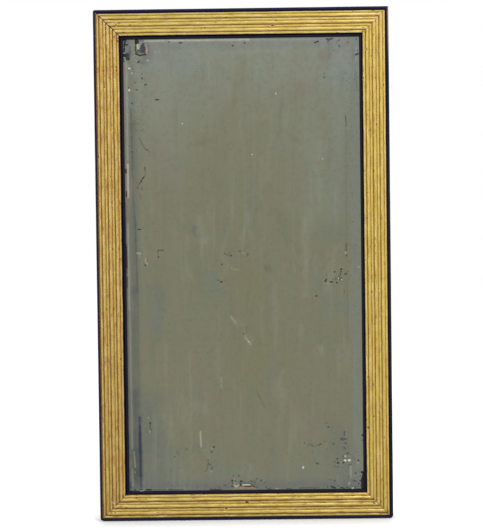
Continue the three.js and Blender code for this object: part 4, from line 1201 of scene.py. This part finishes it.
def tin_foil():
    foil = Finish("tin_foil")
    at = foil.place()
    craze = foil.cells(at, 60.0, "DISTANCE_TO_EDGE").step(0.03, 0.0)
    cloud = foil.noise(at, 12.0, 4.0, 0.6)
    colour = foil.mix(cloud.step(0.35, 0.7), paint(*FOIL_BRIGHT), paint(*FOIL_DULL))
    colour = foil.mix(craze * 0.5, colour, paint(*FOIL_CRAZE))
    foil.put(base_color=colour, metallic=0.8, roughness=0.35 + cloud * 0.25)
    foil.relief(cloud - craze, 0.0003, 0.4)
    return foil.material


dress("silvering", tin_foil())

# ---- Glue blocks ----
# Short pine blocks with a sloping back, cut from cleaner pine than the back frame. They are glued to it
# behind the plate's rim, and hold the plate forward against the slips.

BLOCK_ARRIS = 0.0005
BLOCK_PALE = (186, 146, 94)
BLOCK_BROWN = (138, 98, 56)
BLOCK_DIRT = 0.3
for seed, side in enumerate(SIDES):
    group = f"glue_block_{side}"
    grain = "z" if side in ("left", "right") else "x"
    block_pine = old_pine(group, 30 + seed, grain, BLOCK_PALE, BLOCK_BROWN, BLOCK_DIRT)
    for name in sorted(frame["nodes"]):
        if name.startswith(group):
            ease_edges(dress(name, block_pine), BLOCK_ARRIS)

# ---- Backboards ----
# Three thin pine boards, set upright in the back frame's rebate with their edges chamfered, dark with age
# and dust, each cut from a different part of the tree.

BOARD_ARRIS = 0.0004
BOARD_PALE = (164, 126, 82)
BOARD_BROWN = (112, 80, 48)
BOARD_DIRT = 0.8
for number in (1, 2, 3):
    name = f"backboard_{number}"
    board = old_pine(name, 40 + 3 * number, "z", BOARD_PALE, BOARD_BROWN, BOARD_DIRT)
    ease_edges(dress(name, board), BOARD_ARRIS, 1)

# ---- Board nails ----
# Cut iron nails with rectangular heads, driven through the ends of the boards into the back frame. They
# have rusted brown.

NAIL_ARRIS = 0.0003
IRON = (58, 50, 46)
BROWN_IRON = (96, 60, 40)
RUST = (122, 70, 38)


def rusty_iron():
    iron = Finish("rusty_iron")
    at = iron.place()
    crust = iron.noise(at, 900.0, 4.0, 0.65)
    cloud = iron.noise(at, 140.0, 3.0)
    colour = iron.mix(crust.step(0.4, 0.7), paint(*IRON), paint(*BROWN_IRON))
    rust = (crust * 0.6 + cloud * 0.5).step(0.5, 0.68)
    colour = iron.mix(rust * 0.7, colour, paint(*RUST))
    iron.put(base_color=colour, metallic=0.75 - rust * 0.6, roughness=0.5 + crust * 0.3)
    iron.relief(crust, 0.0004, 0.8)
    return iron.material


iron_finish = rusty_iron()
for name in sorted(frame["nodes"]):
    if name.startswith("board_nail"):
        ease_edges(dress(name, iron_finish), NAIL_ARRIS)

# ---- Hanger straps and screws ----
# A brass strap is curled round the bar of each ring and screwed to the stile with two iron screws. The
# brass is brown with age and brighter where it has been handled.

STRAP_ARRIS = 0.0003
SCREW_ARRIS = 0.0002
BRIGHT_BRASS = (168, 134, 74)
BROWN_BRASS = (112, 84, 46)
TARNISH = (70, 56, 36)


def old_brass(name, seed):
    brass = Finish(name)
    at = brass.shift(brass.place(), (seed * 0.3, 0.0, 0.0))
    cloud = brass.noise(at, 90.0, 4.0, 0.6)
    fine = brass.noise(at, 1100.0, 3.0, 0.6)
    colour = brass.mix(cloud.step(0.35, 0.65), paint(*BRIGHT_BRASS), paint(*BROWN_BRASS))
    tarnish = (cloud * 0.6 + fine * 0.4).step(0.52, 0.66)
    colour = brass.mix(tarnish * 0.7, colour, paint(*TARNISH))
    brass.put(base_color=colour, metallic=0.95 - tarnish * 0.35, roughness=0.32 + tarnish * 0.3)
    brass.relief(fine * 0.5 + cloud * 0.5, 0.0002, 0.5)
    return brass.material


for seed, side in enumerate(("left", "right")):
    ease_edges(dress(f"hanger_strap_{side}", old_brass(f"hanger_strap_{side}", seed)), STRAP_ARRIS)
    for level in ("upper", "lower"):
        ease_edges(dress(f"hanger_screw_{side}_{level}", iron_finish), SCREW_ARRIS)

# ---- Hanger rings ----
# A D of drawn brass wire hangs free in each strap's curl, so that it can swing up over the strap. Its two
# square corners are bent tight and its round part hangs down.

WIRE_RADIUS = 0.0022
RING_HALF_WIDTH = 0.015
RING_CORNER = 0.004
RING_ARM = 0.009
WIRE_SIDES = 20
BAR_STEPS = 12
BEND_STEPS = 8
ROUND_STEPS = 40


def ring_line():
    """The middle line of the wire in the ring's own plane, from the bar round to the bar again."""
    bend = RING_HALF_WIDTH - RING_CORNER
    line = [(bend * (2 * step / BAR_STEPS - 1), 0.0) for step in range(BAR_STEPS + 1)]
    for step in range(1, BEND_STEPS + 1):
        angle = math.pi / 2 * (1 - step / BEND_STEPS)
        line.append((bend + RING_CORNER * math.cos(angle), RING_CORNER * (math.sin(angle) - 1)))
    for step in range(ROUND_STEPS + 1):
        angle = -math.pi * step / ROUND_STEPS
        line.append((RING_HALF_WIDTH * math.cos(angle), -RING_ARM + RING_HALF_WIDTH * math.sin(angle)))
    for step in range(BEND_STEPS):
        angle = math.pi - math.pi / 2 * step / BEND_STEPS
        line.append((-bend + RING_CORNER * math.cos(angle), RING_CORNER * (math.sin(angle) - 1)))
    return np.array(line)


def ring_mesh(name, axis):
    line = ring_line()
    ahead = np.roll(line, -1, axis=0) - np.roll(line, 1, axis=0)
    ahead /= np.linalg.norm(ahead, axis=1, keepdims=True)
    outward = np.stack([ahead[:, 1], -ahead[:, 0]], -1)
    turn = np.linspace(0, 2 * math.pi, WIRE_SIDES, endpoint=False)
    flat = line[:, None, :] + outward[:, None, :] * (WIRE_RADIUS * np.cos(turn))[None, :, None]
    y = np.broadcast_to(WIRE_RADIUS * np.sin(turn), flat.shape[:2])
    points = np.stack([flat[..., 0] + axis.x, y + axis.y, flat[..., 1] + axis.z], -1).reshape(-1, 3)
    here = np.arange(len(points)).reshape(len(line), WIRE_SIDES)
    ring = np.roll(here, -1, axis=0)
    beside = np.roll(here, -1, axis=1)
    corner = np.roll(ring, -1, axis=1)
    mesh = bpy.data.meshes.new(name)
    mesh.from_pydata(points.tolist(), [], np.stack([here, ring, corner, beside], -1).reshape(-1, 4).tolist())
    mesh.shade_smooth()
    return mesh


for seed, side in enumerate(("left", "right")):
    low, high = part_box(f"hanger_ring_{side}")
    axis = Vector(((low.x + high.x) / 2, (low.y + high.y) / 2, high.z - WIRE_RADIUS))
    ring = bpy.data.objects.new(f"brass_ring_{side}", ring_mesh(f"brass_ring_{side}", axis))
    bpy.context.scene.collection.objects.link(ring)
    stand_for(f"hanger_ring_{side}", ring, old_brass(f"brass_ring_{side}", seed + 4))

# ---- Floor, studio and camera ----
# The mirror stands on a plain pale floor in soft daylight from above and to the right. A shadow is painted
# into the floor's glow at the mirror's foot, and what the mirror and the gilding reflect of the floor is
# painted darker close by, and as pale as the sky far off.

FLOOR_HALF = 12.0
FLOOR_GAP = 0.0004

# Where the painted shadow at the mirror's foot fades, in metres before the front, behind it and beside the
# two sides
SHADE_REACH = 0.12
UNDER_MIRROR = -0.1
SHADE_BACK = -0.04
SHADE_SIDES = (0.03, -0.02)
FAR_FLOOR = 0.3

NO_LIGHT = (0.0, 0.0, 0.0, 1.0)
OPEN_GLOW = (0.52, 0.52, 0.52, 1.0)
PAINTED_SHADOW_GLOW = (0.12, 0.14, 0.18, 1.0)
NEAR_MIRRORED = (0.6, 0.6, 0.6, 1.0)
FAR_MIRRORED = (1.0, 1.0, 1.0, 1.0)
FLOOR_PAINT = (240, 240, 240)

floor_mesh = bpy.data.meshes.new("floor")
floor_corners = [(x * FLOOR_HALF, y * FLOOR_HALF) for x, y in ((-1, -1), (1, -1), (1, 1), (-1, 1))]
floor_mesh.from_pydata([(x, y, cad_low.z - FLOOR_GAP) for x, y in floor_corners], [], [(0, 1, 2, 3)])
floor = bpy.data.objects.new("floor", floor_mesh)
bpy.context.scene.collection.objects.link(floor)

floor_finish = Finish("floor")
floor_at = floor_finish.place()
camera_ray = floor_finish.node("ShaderNodeLightPath", output=0)
glossy_ray = floor_finish.node("ShaderNodeLightPath", output=3)
through_ray = floor_finish.node("ShaderNodeLightPath", output=6)
beside = floor_finish.part(floor_at, 0).size() - HALF_WIDTH
before = -1.0 * floor_finish.part(floor_at, 1) - EDGE_FRONT
# A shadow painted into the floor's glow at the mirror's foot
painted_shadow = before.step(SHADE_REACH, 0.0) * before.step(UNDER_MIRROR, SHADE_BACK) * beside.step(*SHADE_SIDES)
glow = floor_finish.mix(painted_shadow, OPEN_GLOW, PAINTED_SHADOW_GLOW)
glow = floor_finish.mix(camera_ray.largest(through_ray), NO_LIGHT, glow)
# What the mirror and the gilding see of the floor: painted darker close by
mirrored = floor_finish.mix(before.step(UNDER_MIRROR, FAR_FLOOR), NEAR_MIRRORED, FAR_MIRRORED)
glow = floor_finish.mix(glossy_ray, glow, mirrored)
surface = floor_finish.mix(glossy_ray, paint(*FLOOR_PAINT), NO_LIGHT)
floor_finish.put(base_color=surface, roughness=0.9, emission_color=glow, emission_strength=1.0)
floor_finish.put(specular_ior_level=0.0)
floor_mesh.materials.append(floor_finish.material)
floor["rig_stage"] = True

DAYLIGHT = 0.62
DIM_SIDE = 0.5
LIGHT_RIGHT = 0.35
LIGHT_BEFORE = 0.35
LIGHT_ABOVE = 0.8
LIGHT_FADES = (-0.6, 0.25)
SKY = (1.0, 1.0, 1.0, 1.0)
world = bpy.data.worlds.new("studio")
bpy.context.scene.world = world
world.use_nodes = True
studio = Nodes(world.node_tree)
background = world.node_tree.nodes["Background"]
way = studio.node("ShaderNodeTexCoord", output=0)
up = studio.part(way, 2) * LIGHT_ABOVE
towards_light = up + studio.part(way, 0) * LIGHT_RIGHT - studio.part(way, 1) * LIGHT_BEFORE
shown = towards_light.step(*LIGHT_FADES) * (1 - DIM_SIDE) + DIM_SIDE
glossy_ray = studio.node("ShaderNodeLightPath", output=3)
level = glossy_ray * shown + (1.0 - glossy_ray) * DAYLIGHT
white = studio.node("ShaderNodeLightPath", output=0).largest(studio.node("ShaderNodeLightPath", output=6))
studio.join(background.inputs["Strength"], white + (1.0 - white) * level)
background.inputs["Color"].default_value = SKY


def lamp(name, place, size, watts):
    """A square soft lamp that points at the middle of the mirror."""
    light = bpy.data.lights.new(name, "AREA")
    light.size = size
    light.energy = watts
    holder = bpy.data.objects.new(name, light)
    bpy.context.scene.collection.objects.link(holder)
    holder.location = place
    holder.rotation_euler = (-Vector(place)).to_track_quat("-Z", "Y").to_euler()


lamp("key", (1.6, -2.2, 2.6), size=1.4, watts=55)
lamp("fill", (-2.4, -2.6, 0.6), size=1.8, watts=16)

CAMERA_PLACE = (0.0176, -3.2, 0.0775)
CAMERA_TILT = (88.561, 0.724, 0.39)
CAMERA_LENS = 91.52
CAMERA_SENSOR = 36.0
camera = bpy.data.objects.new("camera", bpy.data.cameras.new("camera"))
bpy.context.scene.collection.objects.link(camera)
camera.location = CAMERA_PLACE
camera.rotation_euler = [math.radians(part) for part in CAMERA_TILT]
camera.data.lens = CAMERA_LENS
camera.data.sensor_width = CAMERA_SENSOR
bpy.context.scene.camera = camera
bpy.context.scene.view_settings.view_transform = "Standard"

low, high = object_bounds()
